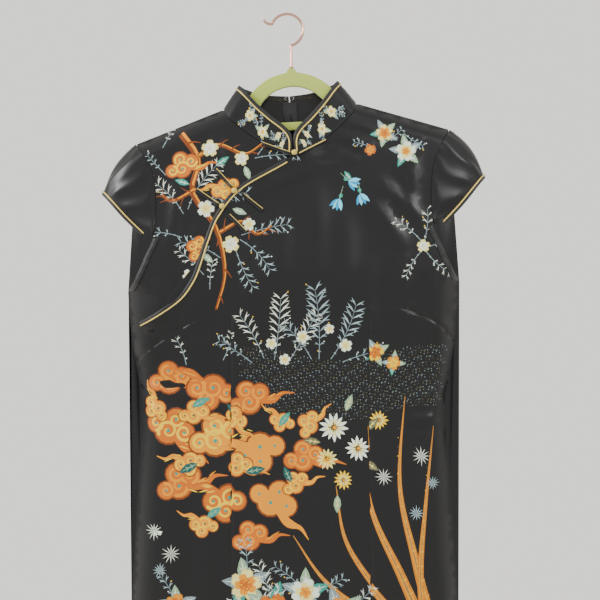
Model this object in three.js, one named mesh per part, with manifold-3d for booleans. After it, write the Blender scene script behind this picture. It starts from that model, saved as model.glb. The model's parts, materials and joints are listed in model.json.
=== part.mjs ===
// A cheongsam dress hanging on a flat flocked hanger, each cut or sewn piece a mesh of its own.
// Millimetres, +Z up, front towards -Y. The origin is the inside top of the hanger's hook.
import * as THREE from "three";
import { mergeVertices } from "three/addons/utils/BufferGeometryUtils.js";
import Module from "manifold-3d";

const wasm = await Module();
wasm.setup();

// Driving sizes.
const clothWall = 1.6;
const seamGap = 0.4;
const halfGap = seamGap / 2;
const bindingWidth = 6;
const bindingWall = 1;
const trimLift = 0.3;
const pipingRadius = 1.1;
const underlap = 11;
const overlapLift = clothWall + 4 * seamGap;
const edgeClear = 0.5; // between a bound piece and its binding
const pipingLift = 0.75;
const armholeLift = 1.1; // the panels round away quickly under the armhole's binding
const edgeRounding = 1.35; // width of the rounded edge of a panel, in depths of the dress there
const hemZ = -1262;
const waistZ = -532;
const slitTopZ = -1000;
const slitSpread = 3; // each side of the seam plane at the hem
const hangTilt = 0.047; // the hanger's arms rise this much to the right
const neckPoint = { h: 89.8, z: -124.9 };
const shoulderPoint = { h: 213, z: -166.7 };
const underarm = { h: 226.8, z: -372 };
const frontTopZ = -126.6; // top of the panels' shoulders, just below the neck point
const napeZ = -148; // the neckline at the centre back
const openingTopZ = -194;
const openingEndZ = -427;

// The dress from the neck down: half width at the side seams, sideways place of the axis,
// depth in front of and behind the seams, and the rise of a level line to the right.
const sections = [
  { z: -80, half: 226.8, axis: 1, front: 13, back: 10, tilt: 0.047 },
  { z: -125, half: 226.8, axis: 4, front: 15, back: 11, tilt: 0.047 },
  { z: -170, half: 226.8, axis: 8, front: 17, back: 12, tilt: 0.047 },
  { z: -234, half: 226.8, axis: 9, front: 21, back: 13, tilt: 0.044 },
  { z: -345, half: 226.8, axis: 9.2, front: 29, back: 14, tilt: 0.036 },
  { z: -372, half: 226.8, axis: 9.3, front: 29, back: 14, tilt: 0.033 },
  { z: -430, half: 222.3, axis: 9.3, front: 25, back: 13, tilt: 0.02 },
  { z: -498, half: 212, axis: 9.3, front: 20, back: 12, tilt: 0.005 },
  { z: -532, half: 207, axis: 9.3, front: 19, back: 12, tilt: 0 },
  { z: -575, half: 208, axis: 9.6, front: 20, back: 14, tilt: 0 },
  { z: -620, half: 212.5, axis: 10, front: 22, back: 17, tilt: 0 },
  { z: -720, half: 219, axis: 10.6, front: 26, back: 22, tilt: 0 },
  { z: -830, half: 224, axis: 11, front: 26, back: 23, tilt: 0 },
  { z: -1000, half: 218, axis: 11, front: 24, back: 21, tilt: 0 },
  { z: -1262, half: 204, axis: 11, front: 22, back: 19, tilt: 0 },
];

// Edges of the panels: distance from the axis at each height.
const frontNeck = [
  { z: -124.9, h: 89.8 },
  { z: -140, h: 84 },
  { z: -158, h: 66 },
  { z: -174, h: 45 },
  { z: -185, h: 27 },
  { z: -191.5, h: 10 },
  { z: -194, h: 1 },
];
const backNeck = [
  { z: -124.9, h: 89.8 },
  { z: -133, h: 77 },
  { z: -141, h: 52 },
  { z: -146, h: 24 },
  { z: -148, h: 1 },
];
const armhole = [
  { z: -166.7, h: 213 },
  { z: -192, h: 197 },
  { z: -216, h: 188 },
  { z: -258, h: 184.5 },
  { z: -298, h: 188 },
  { z: -325, h: 199.5 },
  { z: -341, h: 206 },
  { z: -358, h: 215 },
  { z: -372, h: 226.8 },
];
const opening = [
  { z: -194, h: 1 },
  { z: -201, h: -3 },
  { z: -237.3, h: -69.5 },
  { z: -274, h: -100.7 },
  { z: -304.8, h: -113.5 },
  { z: -350.6, h: -128.5 },
  { z: -369.3, h: -138.6 },
  { z: -384.2, h: -150.5 },
  { z: -399, h: -169.5 },
  { z: -413.8, h: -193.5 },
  { z: -427, h: -221.5 },
];

// A collar half from the centre front (s = 0) round the neck point to the centre back (s = 1):
// the neck seam, the piped line, the outer edge, and the distance of that edge before the seam plane.
const collarRows = [
  { s: 0, seamH: 7.5, seamZ: -192.2, goldH: 5, goldZ: -190, edgeH: 0.6, edgeZ: -189.5, edgeY: 19.5 },
  { s: 0.1, seamH: 15, seamZ: -189.6, goldH: 5.2, goldZ: -173, edgeH: 0.7, edgeZ: -168, edgeY: 19 },
  { s: 0.22, seamH: 27, seamZ: -184.6, goldH: 12.6, goldZ: -160, edgeH: 8.2, edgeZ: -155.4, edgeY: 18 },
  { s: 0.34, seamH: 45, seamZ: -173.6, goldH: 29.8, goldZ: -144.6, edgeH: 25.3, edgeZ: -139.9, edgeY: 17 },
  { s: 0.45, seamH: 66, seamZ: -157.6, goldH: 47, goldZ: -127, edgeH: 42.6, edgeZ: -122.6, edgeY: 15.5 },
  { s: 0.54, seamH: 84, seamZ: -139.8, goldH: 63, goldZ: -107.5, edgeH: 59, edgeZ: -102.6, edgeY: 10 },
  { s: 0.6, seamH: 89.8, seamZ: -124.3, goldH: 70.3, goldZ: -98, edgeH: 66.8, edgeZ: -92.4, edgeY: 0 },
  { s: 0.68, seamH: 77, seamZ: -133, goldH: 62, goldZ: -102, edgeH: 59, edgeZ: -96.5, edgeY: -8.5 },
  { s: 0.85, seamH: 40, seamZ: -143.4, goldH: 33, goldZ: -110.6, edgeH: 31.5, edgeZ: -104.8, edgeY: -11.5 },
  { s: 1, seamH: 0.6, seamZ: -147.9, goldH: 0.6, goldZ: -114, edgeH: 0.6, edgeZ: -108, edgeY: -12 },
];

const collarShoulder = 0.6; // the row of the table at the neck point

// A sleeve from its top fold (t = 0) to where it ends low on the armhole (t = 1).
const sleeveRows = [
  { t: 0, seamZ: -167, goldH: 259.4, goldZ: -230.6, edgeH: 263, edgeZ: -234.4 },
  { t: 0.12, seamZ: -182, goldH: 250, goldZ: -239.8, edgeH: 253.5, edgeZ: -243.6 },
  { t: 0.45, seamZ: -224, goldH: 225.5, goldZ: -268, edgeH: 229, edgeZ: -272 },
  { t: 0.8, seamZ: -267, goldH: 200, goldZ: -293, edgeH: 202.5, edgeZ: -297.8 },
  { t: 1, seamZ: -290, goldH: 191, goldZ: -299.5, edgeH: 192, edgeZ: -304.5 },
];
const sleevePuff = 7;

// Frogs from the neck down. Each has a knot and two straight arms, given by their ends.
const frogs = [
  {
    knot: { h: 1.5, z: -192 },
    arms: [
      { fromH: -42, fromZ: -177.5, toH: -4, toZ: -193.5 },
      { fromH: 45, fromZ: -175.5, toH: 7, toZ: -193.5 },
    ],
    lift: 1.9,
  },
  {
    knot: { h: -79, z: -240 },
    arms: [
      { fromH: -106, fromZ: -209, toH: -82.6, toZ: -235.6 },
      { fromH: -42, fromZ: -268, toH: -68.5, toZ: -246 },
    ],
    lift: 0.8,
  },
  {
    knot: { h: -95.5, z: -260.5 },
    arms: [
      { fromH: -131.5, fromZ: -236, toH: -100.6, toZ: -258.6 },
      { fromH: -64, fromZ: -297, toH: -87.5, toZ: -272.5 },
    ],
    lift: 0.8,
  },
];
const frogWidth = 4.6;
const frogThickness = 2;
const knotRadius = 3.9;

const hanger = {
  thickness: 5,
  archRadius: 73,
  archTopZ: -78.3,
  archHeight: 19.5,
  shoulderDrop: 6.2, // below the dress's shoulder seams
  halfSpan: 217,
  barTopZ: -146.5,
  barBottomZ: -158,
  endZ: -192,
  pivot: { x: 6, z: -79 },
};
const hook = { wireRadius: 2, bendRadius: 22, startDegrees: -76, endDegrees: 158, stemX: 5.7 };
const zip = { sliderZ: -127, topZ: -117, bottomZ: -640, width: 20, thickness: 1.2, clear: 0.5 };
const slider = { width: 5.4, wall: 1.8, length: 9, out: 2.4, cheekWall: 1, bailOut: 6.2, bailRadius: 0.6 };
const pull = { barrel: 1.7, bore: 0.9, neck: 2.6, width: 4.6, length: 20.3, thickness: 1.2 };

const cloth = { black: 0x1e1c20, print: 0x24242a, gold: 0xc9b45e, trim: 0x141316 };

// The value of one column at a height, on a smooth curve through the table's rows.
function column(rows, key, at, by = "z") {
  const falling = rows[0][by] > rows[rows.length - 1][by] ? -1 : 1;
  const place = at * falling;
  const spots = rows.map((row) => row[by] * falling);
  if (place <= spots[0]) return rows[0][key];
  if (place >= spots[spots.length - 1]) return rows[rows.length - 1][key];
  const i = spots.findIndex((spot) => spot > place) - 1;
  const slope = (j) => {
    const before = Math.max(j - 1, 0);
    const after = Math.min(j + 1, rows.length - 1);
    return (rows[after][key] - rows[before][key]) / (spots[after] - spots[before]);
  };
  const step = spots[i + 1] - spots[i];
  const t = (place - spots[i]) / step;
  const [a, b] = [rows[i][key], rows[i + 1][key]];
  const [p, q] = [slope(i) * step, slope(i + 1) * step];
  return a + t * (p + t * (3 * (b - a) - 2 * p - q + t * (2 * (a - b) + p + q)));
}

// Every column of a table at a height or a share of its length.
function rowAt(rows, at, by) {
  return Object.fromEntries(Object.keys(rows[0]).map((key) => [key, column(rows, key, at, by)]));
}

const clamp = (value) => Math.min(1, Math.max(0, value));
const smooth = (value) => clamp(value) ** 2 * (3 - 2 * clamp(value));
const fade = (value, from, to) => 1 - smooth((value - from) / (to - from));
const mix = THREE.MathUtils.lerp;

// Garment coordinates (h across from the axis, z up before the tilt, y) to the part's frame.
function hang(h, y, z) {
  return new THREE.Vector3(column(sections, "axis", z) + h, y, z + column(sections, "tilt", z) * h);
}

const shoulderSlope = (neckPoint.z - shoulderPoint.z) / (shoulderPoint.h - neckPoint.h);
const shoulderCosine = 1 / Math.hypot(1, shoulderSlope);
const shoulderAcross = (z) => neckPoint.h + (neckPoint.z - z) / shoulderSlope;

// Distance of the cloth before or behind the seam plane, nothing at the shoulder and side seams.
function depth(h, z, face) {
  const full = column(sections, face, z);
  const across = Math.abs(h);
  const side = z > underarm.z ? underarm.h + 0.9 * (z - underarm.z) : column(sections, "half", z);
  const below = (neckPoint.z - shoulderSlope * (across - neckPoint.h) - z) * shoulderCosine;
  const swell = (edge) => Math.sin((Math.PI / 2) * clamp(edge / (edgeRounding * full)));
  const skirt = smooth((-760 - z) / 400);
  const flutes = 2.4 * skirt * Math.sin(h / 23 + (face === "front" ? 0.6 : 2.1));
  return (full + flutes) * swell(side - across) * swell(below);
}

// Distance from the opening's edge in the plane of the panel: above 0 on the front's side.
const openingSlope = (z) => (column(opening, "h", z + 1) - column(opening, "h", z - 1)) / 2;
function pastOpening(h, z) {
  return (h - column(opening, "h", z)) / Math.hypot(1, z > openingTopZ ? 0 : openingSlope(z));
}

// How far the front is raised where it laps over the panel under it.
function lapLift(h, z) {
  const past = pastOpening(h, z);
  const near = past > 0 ? fade(past, 14, 44) : fade(-past, 9, 20);
  return overlapLift * near * fade(openingEndZ - z, 12, 60);
}

// Half the space between front and back at the side seams, which opens below the slits' tops.
const sideSpace = (z) => halfGap + slitSpread * smooth((slitTopZ - z) / (slitTopZ - hemZ));
const frontInside = (h, z) => sideSpace(z) + depth(h, z, "front") + lapLift(h, z);
const underInside = (h, z) => halfGap + depth(h, z, "front");
const backInside = (h, z) => sideSpace(z) + depth(h, z, "back");

// A closed mesh with its vertices merged and its faces turned outwards.
function closed(geometry) {
  geometry.deleteAttribute("normal");
  geometry.deleteAttribute("uv");
  const merged = mergeVertices(geometry, 1e-3);
  const index = merged.index.array;
  const corners = [0, 1, 2].map(() => new THREE.Vector3());
  let volume = 0;
  for (let i = 0; i < index.length; i += 3) {
    corners.forEach((corner, j) => corner.fromBufferAttribute(merged.attributes.position, index[i + j]));
    volume += corners[0].dot(corners[1].cross(corners[2]));
  }
  if (volume < 0) {
    for (let i = 0; i < index.length; i += 3) [index[i], index[i + 1]] = [index[i + 1], index[i]];
  }
  merged.computeVertexNormals();
  return merged;
}

// A box whose points are moved by place(u, v, w), with u and v along the cloth and w through it.
function bentBox(columns, rows, place) {
  const geometry = new THREE.BoxGeometry(1, 1, 1, columns, rows, 1);
  const position = geometry.attributes.position;
  for (let i = 0; i < position.count; i++) {
    const at = place(position.getX(i) + 0.5, position.getY(i) + 0.5, position.getZ(i) + 0.5);
    position.setXYZ(i, at.x, at.y, at.z);
  }
  return closed(geometry);
}

// Heights from the top of a panel down, each stretch cut into equal steps.
function levels(top, stretches) {
  const heights = [top];
  for (const { to, steps } of stretches) {
    const from = heights[heights.length - 1];
    for (let i = 1; i <= steps; i++) heights.push(mix(from, to, i / steps));
  }
  return heights;
}

// A flat-cut panel between a left and a right edge; inside(h, z) gives its inner face.
function panel({ heights, columns, left, right, inside, facing }) {
  const rows = heights.length - 1;
  return bentBox(columns, rows, (u, v, w) => {
    const z = heights[Math.round((1 - v) * rows)];
    const eased = mix(u, 0.5 - 0.5 * Math.cos(Math.PI * u), 0.75);
    const h = mix(left(z), right(z), eased);
    return hang(h, facing * (inside(h, z) + w * clothWall), z);
  });
}

const normalStep = 1e-3;
// A strip of cloth on a surface(s, r), half its wall on each side.
function strip({ surface, s, r, columns, rows }) {
  return bentBox(columns, rows, (u, v, w) => {
    const at = mix(s[0], s[1], u);
    return offset(surface, at, mix(r[0](at), r[1](at), v), (w - 0.5) * clothWall);
  });
}

function offset(surface, s, r, distance) {
  const along = surface(s + normalStep, r).sub(surface(s - normalStep, r));
  const across = surface(s, r + normalStep).sub(surface(s, r - normalStep));
  return surface(s, r).addScaledVector(along.cross(across).normalize(), distance);
}

function tube(points, radius, steps, sides) {
  const ring = Array.from({ length: sides }, (_, i) => (2 * Math.PI * i) / sides);
  const section = new THREE.Shape(
    ring.map((angle) => new THREE.Vector2(radius * Math.cos(angle), radius * Math.sin(angle))),
  );
  const path = new THREE.CatmullRomCurve3(points);
  return closed(new THREE.ExtrudeGeometry(section, { steps, extrudePath: path, bevelEnabled: false }));
}

// The panels' edges.
function bodyEdge(z) {
  if (z > shoulderPoint.z) return shoulderAcross(z);
  return z > underarm.z ? column(armhole, "h", z) : column(sections, "half", z);
}
const neckEdge = (z) => column(frontNeck, "h", z);
function frontLeft(z) {
  if (z > openingTopZ) return neckEdge(z);
  return z > openingEndZ ? column(opening, "h", z) : -bodyEdge(z);
}
function underRight(z) {
  if (z > openingTopZ) return -neckEdge(z);
  const lap = underlap * Math.hypot(1, openingSlope(z)) * smooth((openingTopZ - z) / 16);
  return column(opening, "h", z) + lap;
}
const backEdge = (z) => (z > napeZ ? column(backNeck, "h", z) : halfGap);

const skirtLevels = [
  { to: waistZ, steps: 3 },
  { to: -760, steps: 3 },
  { to: hemZ, steps: 5 },
];
const openingLevels = [
  { to: -204, steps: 1 },
  { to: -300, steps: 8 },
  { to: underarm.z, steps: 5 },
  { to: openingEndZ, steps: 5 },
];
const upperLevels = [{ to: shoulderPoint.z, steps: 5 }, { to: openingTopZ, steps: 3 }, ...openingLevels];

const geometries = {};

function addPanels() {
  geometries.front = panel({
    heights: levels(frontTopZ, [...upperLevels, ...skirtLevels]),
    columns: 14,
    left: frontLeft,
    right: bodyEdge,
    inside: frontInside,
    facing: -1,
  });
  geometries.under_front = panel({
    heights: levels(frontTopZ, upperLevels),
    columns: 10,
    left: (z) => -bodyEdge(z),
    right: underRight,
    inside: underInside,
    facing: -1,
  });
  for (const [name, way] of [["left", -1], ["right", 1]]) {
    geometries["back_" + name] = panel({
      heights: levels(frontTopZ, [
        { to: napeZ, steps: 4 },
        { to: shoulderPoint.z, steps: 3 },
        { to: -300, steps: 6 },
        { to: underarm.z, steps: 4 },
        { to: openingEndZ, steps: 2 },
        ...skirtLevels,
      ]),
      columns: 10,
      left: (z) => way * backEdge(z),
      right: (z) => way * bodyEdge(z),
      inside: backInside,
      facing: 1,
    });
  }
}

// The opening's binding lies level with the front, and its piping over the joint between them.
function addOpening() {
  const beside = (z, away) => {
    const slope = openingSlope(Math.min(z, openingTopZ - 1));
    const length = Math.hypot(1, slope);
    return { h: column(opening, "h", z) - away / length, z: z + (away * slope) / length };
  };
  const edge = levels(openingTopZ, openingLevels).slice(1, -1);
  const rows = edge.length - 1;
  geometries.opening_binding = bentBox(1, rows, (u, v, w) => {
    const spot = beside(edge[Math.round(v * rows)], mix(seamGap, bindingWidth, u));
    return hang(spot.h, -(frontInside(spot.h, spot.z) + w * clothWall), spot.z);
  });
  const line = edge.map((z) => {
    const spot = beside(z, 0);
    const out = frontInside(spot.h, z) + clothWall + trimLift + pipingRadius;
    return hang(spot.h, -out, z);
  });
  geometries.opening_piping = tube(line, pipingRadius, 34, 6);
}

// A collar half's surface: r from 0 at the neck seam to 1 at the piping and 2 at the edge.
function collarSurface(way) {
  return (s, r) => {
    const at = rowAt(collarRows, s, "s");
    const behind = s > collarShoulder;
    const away = halfGap + clothWall / 2 + depth(at.seamH, at.seamZ, behind ? "back" : "front");
    const out = behind ? -away : away;
    const goldY = mix(out, at.edgeY, 0.86);
    const spots = [
      { h: at.seamH, y: out, z: at.seamZ + 2.5 * seamGap },
      { h: at.goldH, y: goldY, z: at.goldZ },
      { h: at.edgeH, y: at.edgeY, z: at.edgeZ },
    ];
    const from = r < 1 ? 0 : 1;
    const [a, b] = [spots[from], spots[from + 1]];
    const t = r - from;
    return hang(way * mix(a.h, b.h, t), -mix(a.y, b.y, t), mix(a.z, b.z, t));
  };
}

// A sleeve's surface: s from -1 low on the front over the fold to 1 on the back, r as on the collar.
function sleeveSurface(way) {
  return (s, r) => {
    const t = Math.min(1, Math.abs(s)) ** 1.6;
    const face = s < 0 ? "front" : "back";
    const at = rowAt(sleeveRows, t, "t");
    const atFold = Math.max(0, 1 - Math.abs(s) / 0.25);
    const seamH = column(armhole, "h", at.seamZ) + 3.5 * seamGap + atFold;
    const seamY = halfGap + clothWall / 2 + depth(seamH, at.seamZ, face);
    const open = Math.sin((Math.PI / 2) * clamp(Math.abs(s) / 0.5));
    const hemY = mix(1, 0.8, open) * column(sections, face, at.goldZ) * open;
    const spots = [
      { h: seamH, y: seamY * clamp(Math.abs(s) / 0.06), z: at.seamZ },
      { h: at.goldH, y: hemY, z: at.goldZ },
      { h: at.edgeH, y: hemY, z: at.edgeZ },
    ];
    const from = r < 1 ? 0 : 1;
    const [a, b] = [spots[from], spots[from + 1]];
    const u = r - from;
    const bulge = from ? 0 : Math.sin(Math.PI * u);
    const puff = sleevePuff * bulge * (1 - t) ** 1.5;
    const y = mix(a.y, b.y, u) + 3 * bulge * open;
    const h = mix(a.h, b.h, u) + 0.82 * puff;
    return hang(way * h, (s < 0 ? -1 : 1) * y, mix(a.z, b.z, u) + 0.57 * puff);
  };
}

// The panel, binding and piping of a collar half or a sleeve.
function addBoundPiece(name, surface, s, outwards, columns, rows) {
  const reach = (at, from) => surface(at, from).distanceTo(surface(at, from + 1 - normalStep));
  const end = (at) => 1 - edgeClear / reach(at, 0);
  const start = (at) => 1 + edgeClear / reach(at, 1);
  geometries[name] = strip({ surface, s, r: [() => 0, end], columns, rows });
  geometries[name + "_binding"] = strip({ surface, s, r: [start, () => 2], columns, rows: 1 });
  const out = outwards * (clothWall / 2 + pipingLift + pipingRadius);
  const line = Array.from({ length: columns + 1 }, (_, i) => {
    const at = mix(s[0], s[1], i / columns);
    return offset(surface, at, end(at), out);
  });
  geometries[name + "_piping"] = tube(line, pipingRadius, 2 * columns, 6);
}

// A binding on the lower armhole, from the sleeve's end to the underarm, on the panel's outer face.
function addArmholeBindings() {
  const heights = levels(-300, [{ to: underarm.z - 1, steps: 9 }]);
  const rows = heights.length - 1;
  for (const [side, way] of [["left", -1], ["right", 1]]) {
    for (const [face, facing] of [["front", -1], ["back", 1]]) {
      geometries[`armhole_binding_${face}_${side}`] = bentBox(1, rows, (u, v, w) => {
        const z = heights[Math.round(v * rows)];
        const slope = (bodyEdge(z + 1) - bodyEdge(z - 1)) / 2;
        const across = bindingWidth * Math.hypot(1, slope);
        const h = way * (bodyEdge(z) - u * across);
        const out = halfGap + depth(h, z, face) + clothWall + armholeLift + w * bindingWall;
        return hang(h, facing * out, z);
      });
    }
  }
}

// A frog's arm is a flat bar on the cloth, its knot a ball between the two arms.
function addFrogs() {
  frogs.forEach(({ knot, arms, lift }, i) => {
    const top = (h, z) => frontInside(h, z) + clothWall + lift;
    arms.forEach(({ fromH, fromZ, toH, toZ }, j) => {
      const length = Math.hypot(toH - fromH, toZ - fromZ);
      const aside = { h: -(toZ - fromZ) / length, z: (toH - fromH) / length };
      const side = j ? "right" : "left";
      geometries[`frog_${i + 1}_${side}`] = bentBox(6, 2, (u, v, w) => {
        const off = (v - 0.5) * frogWidth * (u < 0.01 ? 0.6 : 1);
        const h = mix(fromH, toH, u) + off * aside.h;
        const z = mix(fromZ, toZ, u) + off * aside.z;
        const base = Math.max(top(h, z), top(mix(fromH, toH, u), mix(fromZ, toZ, u)));
        return hang(h, -(base + w * frogThickness), z);
      });
    });
    const ball = new THREE.SphereGeometry(knotRadius, 10, 8);
    const out = frontInside(knot.h, knot.z) + clothWall + knotRadius + Math.max(lift, 2.8);
    const centre = hang(knot.h, -out, knot.z);
    ball.translate(centre.x, centre.y, centre.z);
    geometries[`frog_${i + 1}_knot`] = closed(ball);
  });
}

function toSolid(geometry) {
  const ready = closed(geometry);
  const mesh = new wasm.Mesh({
    numProp: 3,
    vertProperties: ready.attributes.position.array,
    triVerts: new Uint32Array(ready.index.array),
  });
  return new wasm.Manifold(mesh);
}

function fromSolid(solid) {
  const mesh = solid.getMesh();
  const geometry = new THREE.BufferGeometry();
  geometry.setAttribute("position", new THREE.BufferAttribute(mesh.vertProperties, 3));
  geometry.setIndex(new THREE.BufferAttribute(mesh.triVerts, 1));
  geometry.computeVertexNormals();
  return geometry;
}

// A closed concealed zip: one strip for both tapes, a slider outside with a bail, and its pull.
// It runs up the middle of the back panels, and on between the collar's back ends.
const backMiddle = (z) => halfGap + depth(0, z, "back") + clothWall / 2;
const collarBack = collarRows[collarRows.length - 1];
const backSpots = [
  { z: collarBack.edgeZ, y: -collarBack.edgeY },
  { z: napeZ, y: backMiddle(napeZ) },
];
const backAt = (z) => hang(0, z > napeZ ? column(backSpots, "y", z) : backMiddle(z), z);
const sliderAt = backAt(zip.sliderZ);

function addZip() {
  const heights = levels(zip.topZ, [
    { to: napeZ + 1, steps: 3 },
    { to: napeZ - 12, steps: 2 },
    { to: zip.bottomZ, steps: 8 },
  ]);
  const rows = heights.length - 1;
  geometries.back_zip = bentBox(2, rows, (u, v, w) => {
    const centre = backAt(heights[Math.round(v * rows)]);
    const inside = centre.y - clothWall / 2 - zip.clear - w * zip.thickness;
    return new THREE.Vector3(centre.x + (u - 0.5) * zip.width, inside, centre.z);
  });
  const base = new THREE.BoxGeometry(slider.width, slider.wall, slider.length).translate(0, slider.out, -2);
  const cheekAt = (slider.width - slider.cheekWall) / 2;
  const cheek = new THREE.BoxGeometry(slider.cheekWall, 4.6, 2.4);
  const cheeks = [-cheekAt, cheekAt].map((x) => cheek.clone().translate(x, 5, 0));
  const bar = new THREE.CylinderGeometry(slider.bailRadius, slider.bailRadius, 2 * cheekAt, 12);
  bar.rotateZ(Math.PI / 2).translate(0, slider.bailOut, 0);
  const whole = [...cheeks, bar].reduce((sum, piece) => sum.add(toSolid(piece)), toSolid(base));
  geometries.zip_slider = fromSolid(whole).translate(sliderAt.x, sliderAt.y, sliderAt.z);

  const ring = new THREE.Shape().absarc(0, 0, pull.barrel, 0, 2 * Math.PI);
  ring.holes.push(new THREE.Path().absarc(0, 0, pull.bore, 0, 2 * Math.PI));
  const plain = { bevelEnabled: false, curveSegments: 8 };
  const barrel = new THREE.ExtrudeGeometry(ring, { ...plain, depth: pull.neck });
  barrel.translate(0, 0, -pull.neck / 2).rotateY(Math.PI / 2);
  const half = pull.width / 2;
  const lowest = half - pull.length;
  const drop = new THREE.Shape().moveTo(1 - half, -1.3).lineTo(-half, lowest);
  drop.absarc(0, lowest, half, Math.PI, 2 * Math.PI).lineTo(half - 1, -1.3);
  const plate = new THREE.ExtrudeGeometry(drop, { ...plain, depth: pull.thickness });
  plate.rotateX(Math.PI / 2).translate(0, pull.thickness / 2, 0);
  const tab = toSolid(barrel).add(toSolid(plate));
  geometries.zip_pull = fromSolid(tab).translate(sliderAt.x, sliderAt.y + slider.bailOut, sliderAt.z);
}

// Hook and eye on the inside of the collar's back ends, just below its edge.
function addHookAndEye() {
  [["neck_hook", -1], ["neck_eye", 1]].forEach(([name, way]) => {
    const at = collarSurface(way)(0.985, 1.3);
    const y = at.y - clothWall / 2 - 1.1;
    const points = [[0, 1.6], [1.2, 2], [2.4, 0], [1.2, -2], [0, -1.6]];
    const line = points.map(([aside, rise]) => new THREE.Vector3(at.x + way * aside, y, at.z + rise));
    geometries[name] = tube(line, 0.45, 12, 6);
  });
}

// The hanger's outline in its own upright frame, with the gap under its arch.
function hangerOutline() {
  const centreZ = hanger.archTopZ - hanger.archRadius;
  const leave = 60;
  const leaveZ = centreZ + Math.sqrt(hanger.archRadius ** 2 - leave ** 2);
  const armTop = (across) => neckPoint.z - hanger.shoulderDrop - shoulderSlope * (across - neckPoint.h);
  const tip = hanger.halfSpan;
  const angle = Math.asin(leave / hanger.archRadius);
  const shape = new THREE.Shape();
  const run = (way) => {
    const points = [];
    const add = (x, z) => points.push(new THREE.Vector2(way * x, z));
    add(3.4, hanger.archTopZ + 6);
    add(7.4, hanger.archTopZ - 0.2);
    for (let i = 2; i <= 8; i++) {
      const turn = (angle * i) / 8;
      add(hanger.archRadius * Math.sin(turn), centreZ + hanger.archRadius * Math.cos(turn));
    }
    const fillet = new THREE.QuadraticBezierCurve(
      new THREE.Vector2(leave, leaveZ),
      new THREE.Vector2(68, armTop(68) + 0.6),
      new THREE.Vector2(80, armTop(80)),
    );
    fillet.getPoints(5).slice(1).forEach((point) => add(point.x, point.y));
    const end = new THREE.QuadraticBezierCurve(
      new THREE.Vector2(tip - 12, armTop(tip - 12)),
      new THREE.Vector2(tip + 3, armTop(tip + 3)),
      new THREE.Vector2(tip - 2, hanger.endZ + 4),
    );
    end.getPoints(5).forEach((point) => add(point.x, point.y));
    add(tip - 8, hanger.endZ);
    add(tip - 22, hanger.endZ + 1);
    add(72, hanger.barBottomZ - 3);
    add(56, hanger.barBottomZ);
    return points;
  };
  shape.setFromPoints([...run(1), ...run(-1).reverse()]);
  const inner = hanger.archRadius - hanger.archHeight;
  const spread = Math.acos((hanger.barTopZ - centreZ) / inner);
  const gap = Array.from({ length: 15 }, (_, i) => {
    const turn = mix(spread, -spread, i / 14);
    return new THREE.Vector2(inner * Math.sin(turn), centreZ + inner * Math.cos(turn));
  });
  shape.holes.push(new THREE.Path().setFromPoints(gap));
  return shape;
}

function addHanger() {
  const body = new THREE.ExtrudeGeometry(hangerOutline(), {
    depth: hanger.thickness,
    bevelEnabled: false,
  });
  body.translate(0, 0, -hanger.thickness / 2).rotateX(Math.PI / 2);
  geometries.hanger_body = closed(body);
  const bend = Array.from({ length: 19 }, (_, i) => {
    const turn = THREE.MathUtils.degToRad(mix(hook.startDegrees, hook.endDegrees, i / 18));
    const reach = hook.bendRadius;
    return new THREE.Vector3(reach * Math.cos(turn), 0, reach * Math.sin(turn) + hook.wireRadius - reach);
  });
  const stemFoot = hanger.archTopZ + 6 + 0.4;
  const stem = [
    new THREE.Vector3(hook.stemX + 0.2, 0, stemFoot),
    new THREE.Vector3(hook.stemX, 0, -60),
    new THREE.Vector3(hook.stemX - 0.1, 0, -50),
  ];
  const tip = [
    new THREE.Vector3(-24.5, 0, -11.6),
    new THREE.Vector3(-29, 0, -9.6),
    new THREE.Vector3(-31.4, 0, -6.8),
  ];
  geometries.hanger_hook = tube([...stem, ...bend, ...tip], hook.wireRadius, 44, 8);
}

addPanels();
addOpening();
for (const [side, way] of [["left", -1], ["right", 1]]) {
  addBoundPiece("collar_" + side, collarSurface(way), [0, 1], way, 20, 2);
  addBoundPiece("sleeve_" + side, sleeveSurface(way), [-1, 1], -way, 16, 4);
}
addArmholeBindings();
addFrogs();
addZip();
addHookAndEye();
addHanger();

const finishes = [
  { match: /piping|knot/, color: cloth.gold, roughness: 0.45, metalness: 0.1 },
  { match: /binding|frog|back_zip/, color: cloth.trim, roughness: 0.55, metalness: 0 },
  { match: /zip_slider|zip_pull|neck_/, color: 0x3a3a3c, roughness: 0.4, metalness: 0.8 },
  { match: /hanger_body/, color: 0xb9c378, roughness: 0.95, metalness: 0 },
  { match: /hanger_hook/, color: 0xc48f78, roughness: 0.25, metalness: 1 },
  { match: /sleeve/, color: cloth.black, roughness: 0.4, metalness: 0 },
  { match: /./, color: cloth.print, roughness: 0.4, metalness: 0 },
];

const dress = new THREE.Group();
for (const [name, geometry] of Object.entries(geometries)) {
  const { color, roughness, metalness } = finishes.find(({ match }) => match.test(name));
  const mesh = new THREE.Mesh(geometry, new THREE.MeshStandardMaterial({ color, roughness, metalness }));
  mesh.name = name;
  if (name === "hanger_body") {
    mesh.rotation.y = -hangTilt;
    mesh.position.set(hanger.pivot.x + hangTilt * hanger.pivot.z, 0, 0);
  }
  dress.add(mesh);
}

export default dress;
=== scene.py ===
import json
import math
import random

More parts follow.
